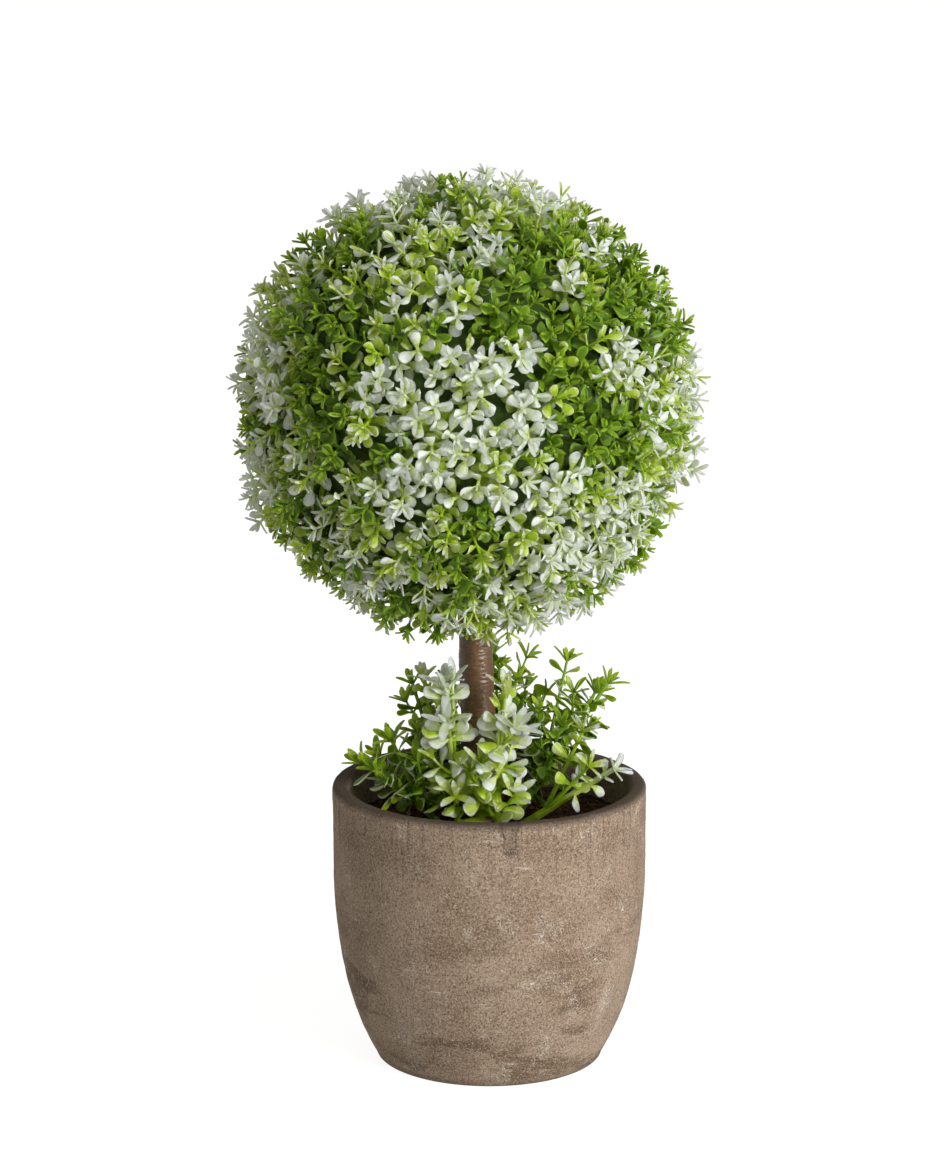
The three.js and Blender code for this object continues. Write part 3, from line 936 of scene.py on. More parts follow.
def moulded_polyethylene(tint, colour):
    """Polyethylene, moulded and tinted: satin and slightly waxy, so light enters a little."""
    material, tree, shader, place = start_material("moulded_polyethylene_" + tint)
    cloud = add_node(tree, "ShaderNodeTexNoise", {"Vector": place, "Scale": per_mm(3), "Detail": 2.0})
    rough = add_node(tree, "ShaderNodeMapRange", {
        "Value": cloud.outputs["Fac"], "To Min": 0.29, "To Max": 0.48,
    })
    pore = add_node(tree, "ShaderNodeTexNoise", {"Vector": place, "Scale": per_mm(0.8), "Detail": 2.0})
    bump = add_node(tree, "ShaderNodeBump", {
        "Height": pore.outputs["Fac"], "Strength": 0.2, "Distance": 0.12 * MM,
    })
    wire(tree, shader, {
        "Base Color": linear(colour),
        "Roughness": rough.outputs["Result"],
        "Normal": bump.outputs["Normal"],
        "IOR": 1.51,
        "Specular IOR Level": 0.35,
        "Subsurface Weight": 0.7,
        "Subsurface Radius": (1.0, 1.0, 0.6),
        "Subsurface Scale": 1.5 * MM,
    })
    return material


leaf_plastics = [moulded_polyethylene(tint, colour) for tint, colour in LEAF_TINTS]
print(len(leaf_plastics), "tints of leaf plastic")

# %% [markdown]
# ## Two leaves to cast from
# Box leaves are spoon shaped: a narrow foot, then a rounded blade, a little pillowed, with a faint groove
# down the middle. At a sprig's tip narrow pointed leaves stand in a star. Each kind is one small closed
# mesh with rows along the leaf and a ring of points at each row, so a leaf has a thickness and an edge.
# Casting copies the mesh once for each leaf, with its own place, length, cup and bend, all in array
# arithmetic.

# %% Leaf moulds
LEAF_THICKNESS = 0.6 * MM
SPOON_ROWS = ((0, 0.2), (0.26, 0.36), (0.48, 0.77), (0.66, 0.98), (0.82, 0.94), (0.94, 0.64), (1, 0.27))
SPOON_RING = ((-1, 0.5), (-0.66, 0.1), (0, 0.16), (0.66, 0.1), (1, 0.5), (0, 1))
SPOON_CAPS = ((0, 1, 2, 5), (2, 3, 4, 5))
SPOON_MARGINS = (1, 0, 0, 1, 0.6, 0.6)
STAR_ROWS = ((0, 0.45), (0.3, 0.8), (0.62, 1), (0.86, 0.76), (1, 0.26))
STAR_RING = ((-1, 0.15), (0, 0.25), (1, 0.15), (0, 1))
STAR_CAPS = ((0, 1, 2, 3),)
STAR_MARGINS = (0, 0, 0.3, 0.3)


def leaf_mould(rows, ring, caps, margins):
    """One leaf's points as shares of its length and width, its faces, and where each face lies."""
    count = len(ring)
    points = np.array([(across * half, along, under) for along, half in rows for across, under in ring])
    faces, spots = [], []
    for row in range(len(rows) - 1):
        for k in range(count):
            low, after = row * count, (k + 1) % count
            faces.append((low + k, low + count + k, low + count + after, low + after))
            spots.append(((rows[row][0] + rows[row + 1][0]) / 2, margins[k]))
    last = (len(rows) - 1) * count
    faces += list(caps) + [tuple(last + k for k in reversed(cap)) for cap in caps]
    spots += [(0, 0)] * len(caps) + [(1, 1)] * len(caps)
    return points, np.array(faces), np.array(spots)


spoon_mould = leaf_mould(SPOON_ROWS, SPOON_RING, SPOON_CAPS, SPOON_MARGINS)
star_mould = leaf_mould(STAR_ROWS, STAR_RING, STAR_CAPS, STAR_MARGINS)
print("a spoon leaf has", len(spoon_mould[1]), "faces and a star leaf", len(star_mould[1]))

# %% Casting
# Where a leaf's row of numbers has its place and directions, its sizes, and its tints
LEAF_AT, LEAF_REACH, LEAF_BROAD, LEAF_UP = (slice(first, first + 3) for first in (0, 3, 6, 9))
LEAF_LENGTH, LEAF_WIDTH, LEAF_BEND, LEAF_CUP = range(12, 16)
LEAF_TINT, LEAF_TINT_RISE, LEAF_TINT_MARGIN = range(16, 19)


def cast_leaves(leaves, mould):
    """The joined points, faces and tints of many leaves."""
    points, faces, spots = mould
    rows = np.array(leaves)[:, None, :]
    at, reach, broad, up = (rows[..., span] for span in (LEAF_AT, LEAF_REACH, LEAF_BROAD, LEAF_UP))
    length, width, bend, cup = (rows[..., [k]] for k in (LEAF_LENGTH, LEAF_WIDTH, LEAF_BEND, LEAF_CUP))
    across, along, under = (points[None, :, k:k + 1] for k in range(3))
    rise = cup * width * across ** 2 - bend * length * along ** 2 - under * LEAF_THICKNESS
    cast = at + reach * (along * length) + broad * (across * width / 2) + up * rise
    rise_of_tint = rows[..., LEAF_TINT_RISE] * spots[None, :, 0]
    tint = rows[..., LEAF_TINT] + rise_of_tint + rows[..., LEAF_TINT_MARGIN] * spots[None, :, 1]
    tint = np.clip(np.rint(tint), 0, len(LEAF_TINTS) - 1)
    joined = faces[None] + (np.arange(len(leaves)) * len(points))[:, None, None]
    return cast.reshape(-1, 3), joined.reshape(-1, 4), tint.ravel()


print("each cast spoon leaf repeats", len(spoon_mould[0]), "points")

# %% [markdown]
# ## How a sprig grows
# Box leaves stand in opposite pairs, each pair a quarter turn from the one below. From the tip down, the
# pairs open wider and their leaves get longer. A star of narrow leaves ends the sprig, or only a bud.
# Four kinds were tinted differently: white, lime, green, and green with a pale edge. The rule takes a
# path from root to tip, sets pairs at gaps back from the tip, and notes one row of numbers for each leaf,
# to be cast later. A leaf can be turned about its own length to look a given way, as leaves turn to the
# light. One that would run into something is left out.

# %% Tints of the four kinds
# For each part of a sprig: the tint at a leaf's foot, its rise to the tip, and what the margin adds
SPRIG_TINTS = {
    "white": {
        "star": (4.8, 1.8, 0.0), "bud": (2.8, 1.8, 0.0), "stem": (2.0, 5.0),
        "upper": (3.4, 3.1, 0.3), "lower": (2.0, 2.2, 0.4),
    },
    "lime": {
        "star": (2.4, 3.4, 0.2), "bud": (2.2, 1.2, 0.0), "stem": (1.6, 3.2),
        "upper": (1.8, 2.4, 0.8), "lower": (1.2, 1.4, 0.7),
    },
    "green": {
        "star": (1.0, 1.2, 0.5), "bud": (1.0, 0.8, 0.3), "stem": (0.4, 1.8),
        "upper": (0.3, 0.8, 0.7), "lower": (0.0, 0.6, 0.5),
    },
    "edged": {
        "star": (1.6, 1.0, 1.2), "bud": (1.4, 0.8, 0.3), "stem": (1.0, 2.2),
        "upper": (0.8, 0.4, 3.6), "lower": (0.5, 0.4, 3.2),
    },
}
TINT_SPREAD = 0.45

print("kinds of sprig:", ", ".join(SPRIG_TINTS))

# %% One leaf on a sprig
UP = Vector((0, 0, 1))
RIGHT = Vector((1, 0, 0))
NEARLY_UPRIGHT = 0.9
NOWHERE = Vector((0, 0, 0))
FACING = 0.9
BLADE_MIDDLE = 0.7


def bare_sprigs():
    """Empty lists for what sprigs grow: leaves of both kinds, and stems."""
    return {"spoons": [], "stars": [], "stems": []}


def crosswise(axis):
    """A direction square to a sprig's axis, from which its leaves are turned."""
    return axis.cross(RIGHT if abs(axis.z) > NEARLY_UPRIGHT else UP).normalized()


def back_from_tip(path, distance):
    """The place on a path this far back from its tip, and the way the path runs there."""
    for high, low in zip(reversed(path), reversed(path[:-1])):
        stretch = (high - low).length
        if distance <= stretch:
            return high.lerp(low, distance / stretch), (high - low).normalized()
        distance -= stretch
    return path[0], (path[1] - path[0]).normalized()


def leaf_row(at, axis, turn, opening, roll, lookout, sizes, tints):
    """One leaf as a row: its place, directions, sizes and tints. Its face turns to a lookout."""
    outward = Matrix.Rotation(turn, 3, axis) @ crosswise(axis)
    reach = axis * math.cos(opening) + outward * math.sin(opening)
    flat = axis.cross(outward)
    broad = Matrix.Rotation(roll - FACING * flat.dot(lookout), 3, reach) @ flat
    up = reach.cross(broad)
    return (*at, *reach, *broad, *up, *sizes, *tints)


def leaf_is_free(row, free):
    """Whether a leaf's tip and the two sides of its blade are in free space."""
    at, reach, broad = (Vector(row[span]) for span in (LEAF_AT, LEAF_REACH, LEAF_BROAD))
    tip = at + reach * row[LEAF_LENGTH]
    blade = at + reach * row[LEAF_LENGTH] * BLADE_MIDDLE
    side = broad * row[LEAF_WIDTH] / 2
    return all(free(point) for point in (tip, blade + side, blade - side))


upright_leaf = leaf_row(NOWHERE, UP, 0, 0, 0, NOWHERE, (1, 1, 0, 0), (0, 0, 0))
print("a leaf is noted as", len(upright_leaf), "numbers")

# %% Growing one sprig
TURN_SPREAD = 0.25
SPOON_WIDTH = 0.56
SPOON_CUP = (-0.3, -0.04)
SPOON_LENGTHS = (0.86, 1.1)
SPOON_OPENING_SPREAD = 12
STAR_TIERS = (
    # leaves, opening, length
    (4, 62, 5.3 * MM),
    (2, 22, 4.4 * MM),
)
STAR_CUP = (0.0, 0.18)
STAR_BEND = (-0.05, 0.2)
STAR_ROLL = 0.3
STAR_LENGTHS = (0.85, 1.15)
STAR_OPENING_SPREAD = 10
STAR_CHANCE = {"white": 0.7, "lime": 0.8, "green": 0.9, "edged": 0.9}
STAR_OPENING = {"white": 1.0, "lime": 0.85, "green": 0.75, "edged": 0.75}
STAR_LENGTH = {"white": 1.0, "lime": 0.92, "green": 0.86, "edged": 0.86}


def grow_sprig(sprigs, path, kind, twist, pairs, habit, draw, free):
    """Sets a sprig's star, and its pairs by their way back from the tip, opening and length."""
    tints = SPRIG_TINTS[kind]
    roll = habit["roll"]
    for tier, (distance, opening, size) in enumerate(pairs):
        at, axis = back_from_tip(path, distance)
        foot, rise, margin = tints["upper" if tier < habit["upper_pairs"] else "lower"]
        for side in range(2):
            length = size * draw.uniform(*SPOON_LENGTHS)
            turn = twist + tier * math.pi / 2 + side * math.pi + draw.uniform(-TURN_SPREAD, TURN_SPREAD)
            spread = math.radians(opening + draw.uniform(-SPOON_OPENING_SPREAD, SPOON_OPENING_SPREAD))
            row = leaf_row(
                at, axis, turn, spread, draw.uniform(-roll, roll), habit["lookout"],
                (length, length * SPOON_WIDTH, draw.uniform(*habit["bend"]), draw.uniform(*SPOON_CUP)),
                (foot + draw.uniform(-TINT_SPREAD, TINT_SPREAD), rise, margin),
            )
            if leaf_is_free(row, free):
                sprigs["spoons"].append(row)
    grow_star(sprigs, path, kind, twist, habit, draw, free)


def grow_star(sprigs, path, kind, twist, habit, draw, free):
    """Sets the narrow leaves at a sprig's tip: an open ring and a closer one inside it, or a bud alone."""
    at, axis = back_from_tip(path, 0)
    opened = draw.random() < STAR_CHANCE[kind]
    foot, rise, margin = SPRIG_TINTS[kind]["star" if opened else "bud"]
    for tier, (count, opening, size) in enumerate(STAR_TIERS if opened else STAR_TIERS[1:]):
        for k in range(count):
            length = size * STAR_LENGTH[kind] * habit["star_scale"] * draw.uniform(*STAR_LENGTHS)
            turn = twist + tier + k * 2 * math.pi / count + draw.uniform(-TURN_SPREAD, TURN_SPREAD)
            wide = opening * STAR_OPENING[kind]
            spread = math.radians(wide + draw.uniform(-STAR_OPENING_SPREAD, STAR_OPENING_SPREAD))
            row = leaf_row(
                at, axis, turn, spread, draw.uniform(-STAR_ROLL, STAR_ROLL), NOWHERE,
                (length, length * habit["star_width"], draw.uniform(*STAR_BEND), draw.uniform(*STAR_CUP)),
                (foot + draw.uniform(-TINT_SPREAD, TINT_SPREAD), rise, margin),
            )
            if leaf_is_free(row, free):
                sprigs["stars"].append(row)


print("an open star has", sum(count for count, opening, size in STAR_TIERS), "leaves")

# %% Stems
STEM_SIDES = 6
STEM_TAPER = 0.55
# Four-cornered faces that close a stem's six-sided ends
STEM_FOOT_CAPS = ((0, 5, 4, 1), (1, 4, 3, 2))
STEM_TIP_CAPS = ((0, 1, 4, 5), (1, 2, 3, 4))


def cast_stems(stems):
    """The joined points, faces and tints of many stems, each a tapered tube along its path."""
    points, faces, tints = [], [], []
    for path, radius, (foot_tint, tip_tint) in stems:
        start = len(points)
        last = len(path) - 1
        side = crosswise((path[-1] - path[0]).normalized())
        for k, at in enumerate(path):
            along = (path[min(k + 1, last)] - path[max(k - 1, 0)]).normalized()
            first = (side - along * side.dot(along)).normalized()
            second = along.cross(first)
            thick = radius * (1 + (STEM_TAPER - 1) * k / last)
            for turn in range(STEM_SIDES):
                angle = turn * 2 * math.pi / STEM_SIDES
                points.append(at + (first * math.cos(angle) + second * math.sin(angle)) * thick)
        for k in range(last):
            tint = foot_tint + (tip_tint - foot_tint) * (k + 0.5) / last
            tint = round(min(max(tint, 0), len(LEAF_TINTS) - 1))
            low = start + k * STEM_SIDES
            for turn in range(STEM_SIDES):
                after = (turn + 1) % STEM_SIDES
                faces.append((low + turn, low + after, low + STEM_SIDES + after, low + STEM_SIDES + turn))
                tints.append(tint)
        for ring, caps, tint in ((0, STEM_FOOT_CAPS, foot_tint), (last, STEM_TIP_CAPS, tip_tint)):
            for cap in caps:
                faces.append(tuple(start + ring * STEM_SIDES + corner for corner in cap))
                tints.append(round(tint))
    return points, faces, tints


print("a stem has", STEM_SIDES, "sides and tapers to", STEM_TAPER, "of its radius")

# %% [markdown]
# ## The ball
# The clipped ball is about a hundred sprays pushed into a core, each with about nine sprigs whose tips
# make an even surface. The solids' rule comes first, with the same seed: sprays on an even spiral over
# the core, each leaning a little. It is then carried further: tips on a closer spiral, with some
# unevenness, each grown from the nearest spray on a path that starts in the core and bends outwards. Each
# spray has a kind, dealt out by seeded chance. On the side that the photo shows, white sprigs lie in the
# middle and at the lower right, green ones at the left, at the right and below, and lime ones at the
# lower left and near the top, so a short list of places on the ball gives those.

# %% Sprays of the ball
CROWN_RADIUS = 80 * MM
CROWN_SPREAD = 3.2 * MM
CROWN_TIP_LEAF = 8 * MM
CROWN_CORE_RADIUS = 64 * MM
CROWN_STEM_SUNK = 4 * MM
CROWN_STEM_RADIUS = 1.25 * MM
CROWN_SPRIGS = 104
CROWN_SEED = 11
CROWN_LEAN = 0.3
GOLDEN_ANGLE = math.pi * (3 - math.sqrt(5))
ALL_BITS = 0xFFFFFFFF
SEED_STEP = 0x6D2B79F5


def seeded(seed):
    """The same row of numbers between 0 and 1 for the same seed, as the solids use."""
    state = seed
    while True:
        state = (state + SEED_STEP) & ALL_BITS
        mixed = ((state ^ (state >> 15)) * (state | 1)) & ALL_BITS
        mixed ^= (mixed + (mixed ^ (mixed >> 7)) * (mixed | 61)) & ALL_BITS
        yield (mixed ^ (mixed >> 14)) / (ALL_BITS + 1)


def on_spiral(k, count):
    """The direction of one of many places that are spread evenly over a ball."""
    height = 1 - (2 * k + 1) / count
    ring = math.sqrt(1 - height * height)
    return Vector((ring * math.cos(k * GOLDEN_ANGLE), ring * math.sin(k * GOLDEN_ANGLE), height))


def crown_sprays():
    """The solids' sprays: the direction of each, its root in the core, its tip and its twist."""
    numbers = seeded(CROWN_SEED)
    sprays = []
    for k in range(CROWN_SPRIGS):
        outward = on_spiral(k, CROWN_SPRIGS)
        lean = Vector([next(numbers) - 0.5 for _ in range(3)])
        reach = CROWN_RADIUS - CROWN_TIP_LEAF + (2 * next(numbers) - 1) * CROWN_SPREAD
        twist = next(numbers) * 2 * math.pi
        towards = (outward + lean * CROWN_LEAN).normalized()
        root = CROWN_CENTRE + outward * (CROWN_CORE_RADIUS - CROWN_STEM_SUNK)
        tip = root + towards * (reach - CROWN_CORE_RADIUS + CROWN_STEM_SUNK)
        if off_trunk(tip) > 0:
            sprays.append({"outward": outward, "root": root, "tip": tip, "twist": twist})
    return sprays


sprays = crown_sprays()
print(len(sprays), "sprays on the ball")

# %% Kinds of the sprays
KIND_SEED = 3
KINDS = ("white", "lime", "green")
KIND_CHANCES = (0.34, 0.42, 0.24)
# How likely each kind of sprig is in a spray of a kind
SPRAY_MIX = {"white": (0.84, 0.12, 0.04), "lime": (0.3, 0.44, 0.26), "green": (0.1, 0.13, 0.77)}
# Places on the ball as the camera sees it, in shares of its radius: right, up, reach and kind. Where two
# of them overlap, the first one counts
KIND_PLACES = (
    (0.58, -0.1, 0.22, "green"),
    (0.1, -0.53, 0.11, "green"),
    (-0.08, -0.76, 0.15, "green"),
    (-0.6, -0.1, 0.2, "green"),
    (0.1, 0.0, 0.3, "white"),
    (-0.24, 0.1, 0.2, "white"),
    (0.33, -0.38, 0.2, "white"),
    (-0.2, -0.42, 0.21, "white"),
    (-0.3, -0.76, 0.18, "white"),
    (-0.64, -0.58, 0.1, "white"),
    (-0.55, -0.5, 0.33, "lime"),
    (0.62, -0.58, 0.34, "white"),
    (0.36, -0.76, 0.26, "white"),
    (0.92, 0.16, 0.14, "white"),
    (0.9, 0.48, 0.13, "white"),
    (0.7, 0.32, 0.1, "white"),
    (-0.92, -0.3, 0.12, "white"),
    (-0.9, -0.3, 0.24, "lime"),
    (-0.88, 0.12, 0.15, "white"),
    (0.02, 0.7, 0.17, "white"),
    (-0.5, 0.86, 0.18, "white"),
    (0.38, 0.91, 0.14, "white"),
    (-0.62, 0.38, 0.32, "green"),
    (0.2, 0.46, 0.2, "green"),
    (0.05, 0.76, 0.28, "lime"),
    (0.56, 0.58, 0.4, "green"),
    (0.74, 0.62, 0.28, "green"),
)


def seen_direction(right, up):
    """The direction from the ball's centre to a place on its near side."""
    near = (CAMERA_PLACE - CROWN_CENTRE).normalized()
    rightward = UP.cross(near).normalized()
    upward = near.cross(rightward)
    return rightward * right + upward * up + near * math.sqrt(max(0.0, 1 - right ** 2 - up ** 2))


placed_kinds = [(seen_direction(right, up), reach, kind) for right, up, reach, kind in KIND_PLACES]


def kind_at(outward, otherwise):
    """The kind that a place on the ball calls for, or else the one that its spray has."""
    for place, reach, kind in placed_kinds:
        if (outward - place).length < reach:
            return kind
    return otherwise


kind_draw = random.Random(KIND_SEED)
for spray in sprays:
    spray["kind"] = kind_draw.choices(KINDS, KIND_CHANCES)[0]
print({kind: sum(spray["kind"] == kind for spray in sprays) for kind in KINDS})

# %% Sprigs of the ball
CROWN_TIPS = 960
TIP_SEED = 17
TIP_RADIUS = 76 * MM
TIP_SPREAD = 4.2 * MM
TIP_SHIFT = 2.0 * MM
ROOT_RADIUS = 57 * MM
BEND_RADIUS = 66 * MM
BEND_TO_TIP = 2
STUMP_SHARE = 0.5
PATH_STEPS = 7
CROWN_PAIRS = (
    # way back from the tip, opening in degrees, length
    (2.8 * MM, 46, 6.0 * MM),
    (6.2 * MM, 56, 7.0 * MM),
    (9.6 * MM, 66, 7.6 * MM),
    (13.2 * MM, 76, 8.4 * MM),
)
CROWN_HABIT = {
    "upper_pairs": 3, "bend": (0.0, 0.12), "roll": 0.35,
    "star_scale": 1.0, "star_width": 0.3, "lookout": NOWHERE,
}
TWIG_RADIUS = 0.75 * MM
TRUNK_CLEAR = 0.6 * MM


def bent_path(root, bend, tip):
    """A smooth path from root to tip that leans towards a bend on the way."""
    shares = [step / (PATH_STEPS - 1) for step in range(PATH_STEPS)]
    return [root * (1 - t) ** 2 + bend * 2 * t * (1 - t) + tip * t ** 2 for t in shares]


def clear_of_trunk(point):
    """Whether a point is above the stem or keeps off it."""
    return point.z > TRUNK_TIP + TRUNK_CLEAR or off_trunk(point) > TRUNK_CLEAR


def grow_crown():
    """All the sprigs of the ball."""
    draw = random.Random(TIP_SEED)
    crown = bare_sprigs()
    outwards = np.array([spray["outward"] for spray in sprays])
    for k in range(CROWN_TIPS):
        outward = on_spiral(k, CROWN_TIPS)
        shift = Vector([draw.uniform(-TIP_SHIFT, TIP_SHIFT) for _ in range(3)])
        tip = CROWN_CENTRE + outward * (TIP_RADIUS + draw.uniform(-TIP_SPREAD, TIP_SPREAD)) + shift
        spray = sprays[int(np.argmax(outwards @ np.array(outward)))]
        kind = draw.choices(KINDS, SPRAY_MIX[kind_at(outward, spray["kind"])])[0]
        twist = spray["twist"] + draw.uniform(0, 2 * math.pi)
        root = CROWN_CENTRE + spray["outward"] * ROOT_RADIUS
        bend = CROWN_CENTRE + (spray["outward"] + outward * BEND_TO_TIP).normalized() * BEND_RADIUS
        if not clear_of_trunk(tip):
            continue
        path = bent_path(root, bend, tip)
        crown["stems"].append((path, TWIG_RADIUS, SPRIG_TINTS[kind]["stem"]))
        grow_sprig(crown, path, kind, twist, CROWN_PAIRS, CROWN_HABIT, draw, clear_of_trunk)
    for spray in sprays:
        straight = [spray["root"], spray["root"].lerp(spray["tip"], STUMP_SHARE)]
        crown["stems"].append((straight, CROWN_STEM_RADIUS, SPRIG_TINTS[spray["kind"]]["stem"]))
    return crown


crown = grow_crown()
print({part: len(rows) for part, rows in crown.items()})

# %% Cast the ball's leaves and stems
PIECE_TRIANGLES = 180_000


def cast_in_pieces(name, leaves, mould, node, slot):
    """Casts leaves as one or more pieces, each below the most triangles that a piece may have."""
    most = PIECE_TRIANGLES // (2 * len(mould[1]))
    parts = math.ceil(len(leaves) / most)
    for part in range(parts):
        share = leaves[part * len(leaves) // parts:(part + 1) * len(leaves) // parts]
        points, faces, tints = cast_leaves(share, mould)
        piece_from(f"{name}_{part + 1}", points, faces, leaf_plastics, node, slot, tints)


cast_in_pieces("crown_spoon_leaves", crown["spoons"], spoon_mould, "crown", "crown_leaves")
cast_in_pieces("crown_star_leaves", crown["stars"], star_mould, "crown", "crown_leaves")
stem_points, stem_faces, stem_tints = cast_stems(crown["stems"])
piece_from("crown_stems", stem_points, stem_faces, leaf_plastics, "crown", "crown_leaves", stem_tints)

# %% [markdown]
# ## The ball's core
# Behind the leaves is a ball that the sprigs are pushed into, dark green and always in shade. It shows
# only as dark gaps, but without it the sky would show through. It is turned about the stem's own line,
# with a socket that the stem stands in, and its surface is dimpled by noise.

# %% Core
CORE_RADIUS = 62 * MM
CORE_OUTSIDE = 0.97
CORE_SOCKET_GAP = 0.8 * MM
CORE_STEPS = 40
CORE_SIDES = 72
CORE_DIMPLE = 2.2 * MM
CORE_DIMPLE_SIZE = 9 * MM


def shaded_foam():
    """Dyed polystyrene foam, in the shade of the leaves: dark and matt, with beads."""
    material, tree, shader, place = start_material("dyed_polystyrene_foam")
    bead = add_node(tree, "ShaderNodeTexVoronoi", {"Vector": place, "Scale": per_mm(3)})
    colour = add_node(tree, "ShaderNodeMix", {
        MIX_SHARE: bead.outputs["Distance"], MIX_FIRST: linear("#55722a"), MIX_SECOND: linear("#34481a"),
    }, data_type="RGBA")
    rough = add_node(tree, "ShaderNodeMapRange", {
        "Value": bead.outputs["Distance"], "To Min": 0.8, "To Max": 1.0,
    })
    bump = add_node(tree, "ShaderNodeBump", {
        "Height": bead.outputs["Distance"], "Strength": 0.6, "Distance": 0.6 * MM,
    }, invert=True)
    wire(tree, shader, {
        "Base Color": colour.outputs[MIX_RESULT],
        "Roughness": rough.outputs["Result"],
        "Normal": bump.outputs["Normal"],
    })
    return material


def core_arrays():
    """A ball with a socket for the stem, turned about the stem's leaning line."""
    socket = TRUNK_NECK_RADIUS + CORE_SOCKET_GAP
    mouth = math.asin(socket / CORE_RADIUS)
    angles = np.linspace(mouth, math.pi, CORE_STEPS)
    ball = [(CORE_RADIUS * math.sin(a), CROWN_CENTRE.z - CORE_RADIUS * math.cos(a)) for a in angles[:-1]]
    socket_end = TRUNK_TIP + CORE_SOCKET_GAP
    profile = [(0, socket_end), (socket, socket_end)] + ball + [(0, CROWN_CENTRE.z + CORE_RADIUS)]
    points, faces = turned(profile, CORE_SIDES)
    points[:, 0] += trunk_x(points[:, 2])
    offsets = points - np.array(CROWN_CENTRE)
    on_ball = np.linalg.norm(offsets, axis=1) > CORE_RADIUS * CORE_OUTSIDE
    dimple = waver(points, CORE_DIMPLE, CORE_DIMPLE_SIZE) * on_ball
    points = points + offsets / CORE_RADIUS * dimple[:, None]
    return points, faces


piece_from("crown_core", *core_arrays(), [shaded_foam()], "crown", "crown_leaves")

# %% [markdown]
# ## The loose sprigs
# Seven loose sprigs of the same plastic are stuck in the coir round the stem's foot. Each has a main stem
# and two side twigs, by the solids' own rule and seed, and stands where its solid does, but for the two
# at the left, which are a little shorter and steeper, as in the photo. Here the rule goes on: short
# shoots stand off the main stem, the pairs of leaves are closer together and of their real size, and the
# leaves turn outwards. The sprigs in front are white, those behind are green with pale edges, and those
# at the sides are mixed. A leaf that would touch the pot, the fill or the stem is left out.

# %% Shapes of the loose sprigs
BASE_SPRIGS = (
    # node, slot, kinds of the stem, of its two twigs, of its low shoots and of its high ones
    ("sprig_right", "variegated_leaves", ("white", "lime", "lime", "lime", "lime")),
    ("sprig_back_right", "green_leaves", ("edged", "edged", "green", "green", "edged")),
    ("sprig_back", "green_leaves", ("edged", "green", "edged", "green", "edged")),
    ("sprig_back_left", "green_leaves", ("green", "lime", "edged", "green", "edged")),
    ("sprig_left", "variegated_leaves", ("edged", "edged", "edged", "green", "edged")),
    ("sprig_front_left", "white_leaves", ("white", "white", "lime", "lime", "white")),
    ("sprig_front_right", "white_leaves", ("white", "lime", "white", "lime", "white")),
)
BASE_SHAPES = {
    # lean in degrees, length, stem radius, gap between pairs, bare share of a limb, shares of the length of
    # shoots and of leaves, and degrees that its leaves look aside from its bearing
    "sprig_right": (55, 41 * MM, 1.7 * MM, 6.4 * MM, 0.5, 1.0, 0.82, -55),
    "sprig_back_right": (41, 57 * MM, 1.2 * MM, 4.3 * MM, 0.06, 1.7, 0.84, 0),
    "sprig_back": (19, 56 * MM, 1.2 * MM, 4.3 * MM, 0.06, 1.9, 0.84, 0),
    "sprig_back_left": (25, 48 * MM, 1.2 * MM, 4.8 * MM, 0.06, 1.2, 0.82, 0),
    "sprig_left": (50, 35 * MM, 1.2 * MM, 6.0 * MM, 0.06, 1.0, 1.0, 0),
    "sprig_front_left": (9, 54 * MM, 1.2 * MM, 7.6 * MM, 0.06, 1.0, 1.0, 0),
    "sprig_front_right": (12, 52 * MM, 1.2 * MM, 7.6 * MM, 0.06, 1.0, 1.0, 0),
}
BASE_FIRST_BEARING = -20
BASE_SEED = 29
BASE_FOOT_RADIUS = 15 * MM
BASE_TWIG_RADIUS = 0.95 * MM
BASE_STEM_SUNK = 1.5 * MM
BASE_FORK = 0.24
BASE_TWIGS = (
    # turn in degrees, share of the lean, share of the length
    (15, 0.45, 0.78),
    (-15, 0.8, 0.66),
)
SHOOTS = {
    # share of the way up the main stem, turn from its bearing and lean in degrees, length
    "low_onward": (0.08, 75, 38, 24 * MM),
    "low_back": (0.08, -75, 38, 22 * MM),
    "high_onward": (0.4, 105, 40, 15 * MM),
    "high_back": (0.58, -105, 38, 14 * MM),
    "outward_low": (0.16, 14, 62, 11 * MM),
    "outward_middle": (0.4, -24, 62, 10 * MM),
    "outward_high": (0.66, 22, 56, 9 * MM),
    "inner_onward": (0.2, 140, 18, 19 * MM),
    "inner_back": (0.3, -120, 24, 17 * MM),
}
SHOOTS_LEFT_OUT = {
    "sprig_right": tuple(SHOOTS),
    "sprig_front_left": ("high_onward", "inner_onward", "inner_back"),
    "sprig_front_right": ("low_onward", "high_back", "inner_onward", "inner_back"),
}

print(len(BASE_SPRIGS), "loose sprigs, each with up to", len(SHOOTS), "shoots")

# %% Limbs of a loose sprig
BASE_MARGIN = 0.5 * MM
BASE_FIRST_GAP = 4.6 * MM
BASE_OPENINGS = (56, 66, 76, 86)
BASE_LENGTHS = (8.0 * MM, 9.6 * MM, 10.4 * MM, 10.4 * MM)
SHOOT_LOW = 0.3
SHOOT_RISE = 0.3
SHOOT_BARE = 0.1
SHOOT_RADIUS = 0.7 * MM
SHOOT_TURN_SPREAD = 20
SHOOT_LENGTHS = (0.85, 1.15)
LOW_SHOOT_KIND = 3
HIGH_SHOOT_KIND = 4


def heading(bearing, lean):
    """The direction that leans from upright by an angle, towards a bearing."""
    ring = math.sin(lean)
    return Vector((ring * math.cos(bearing), ring * math.sin(bearing), math.cos(lean)))


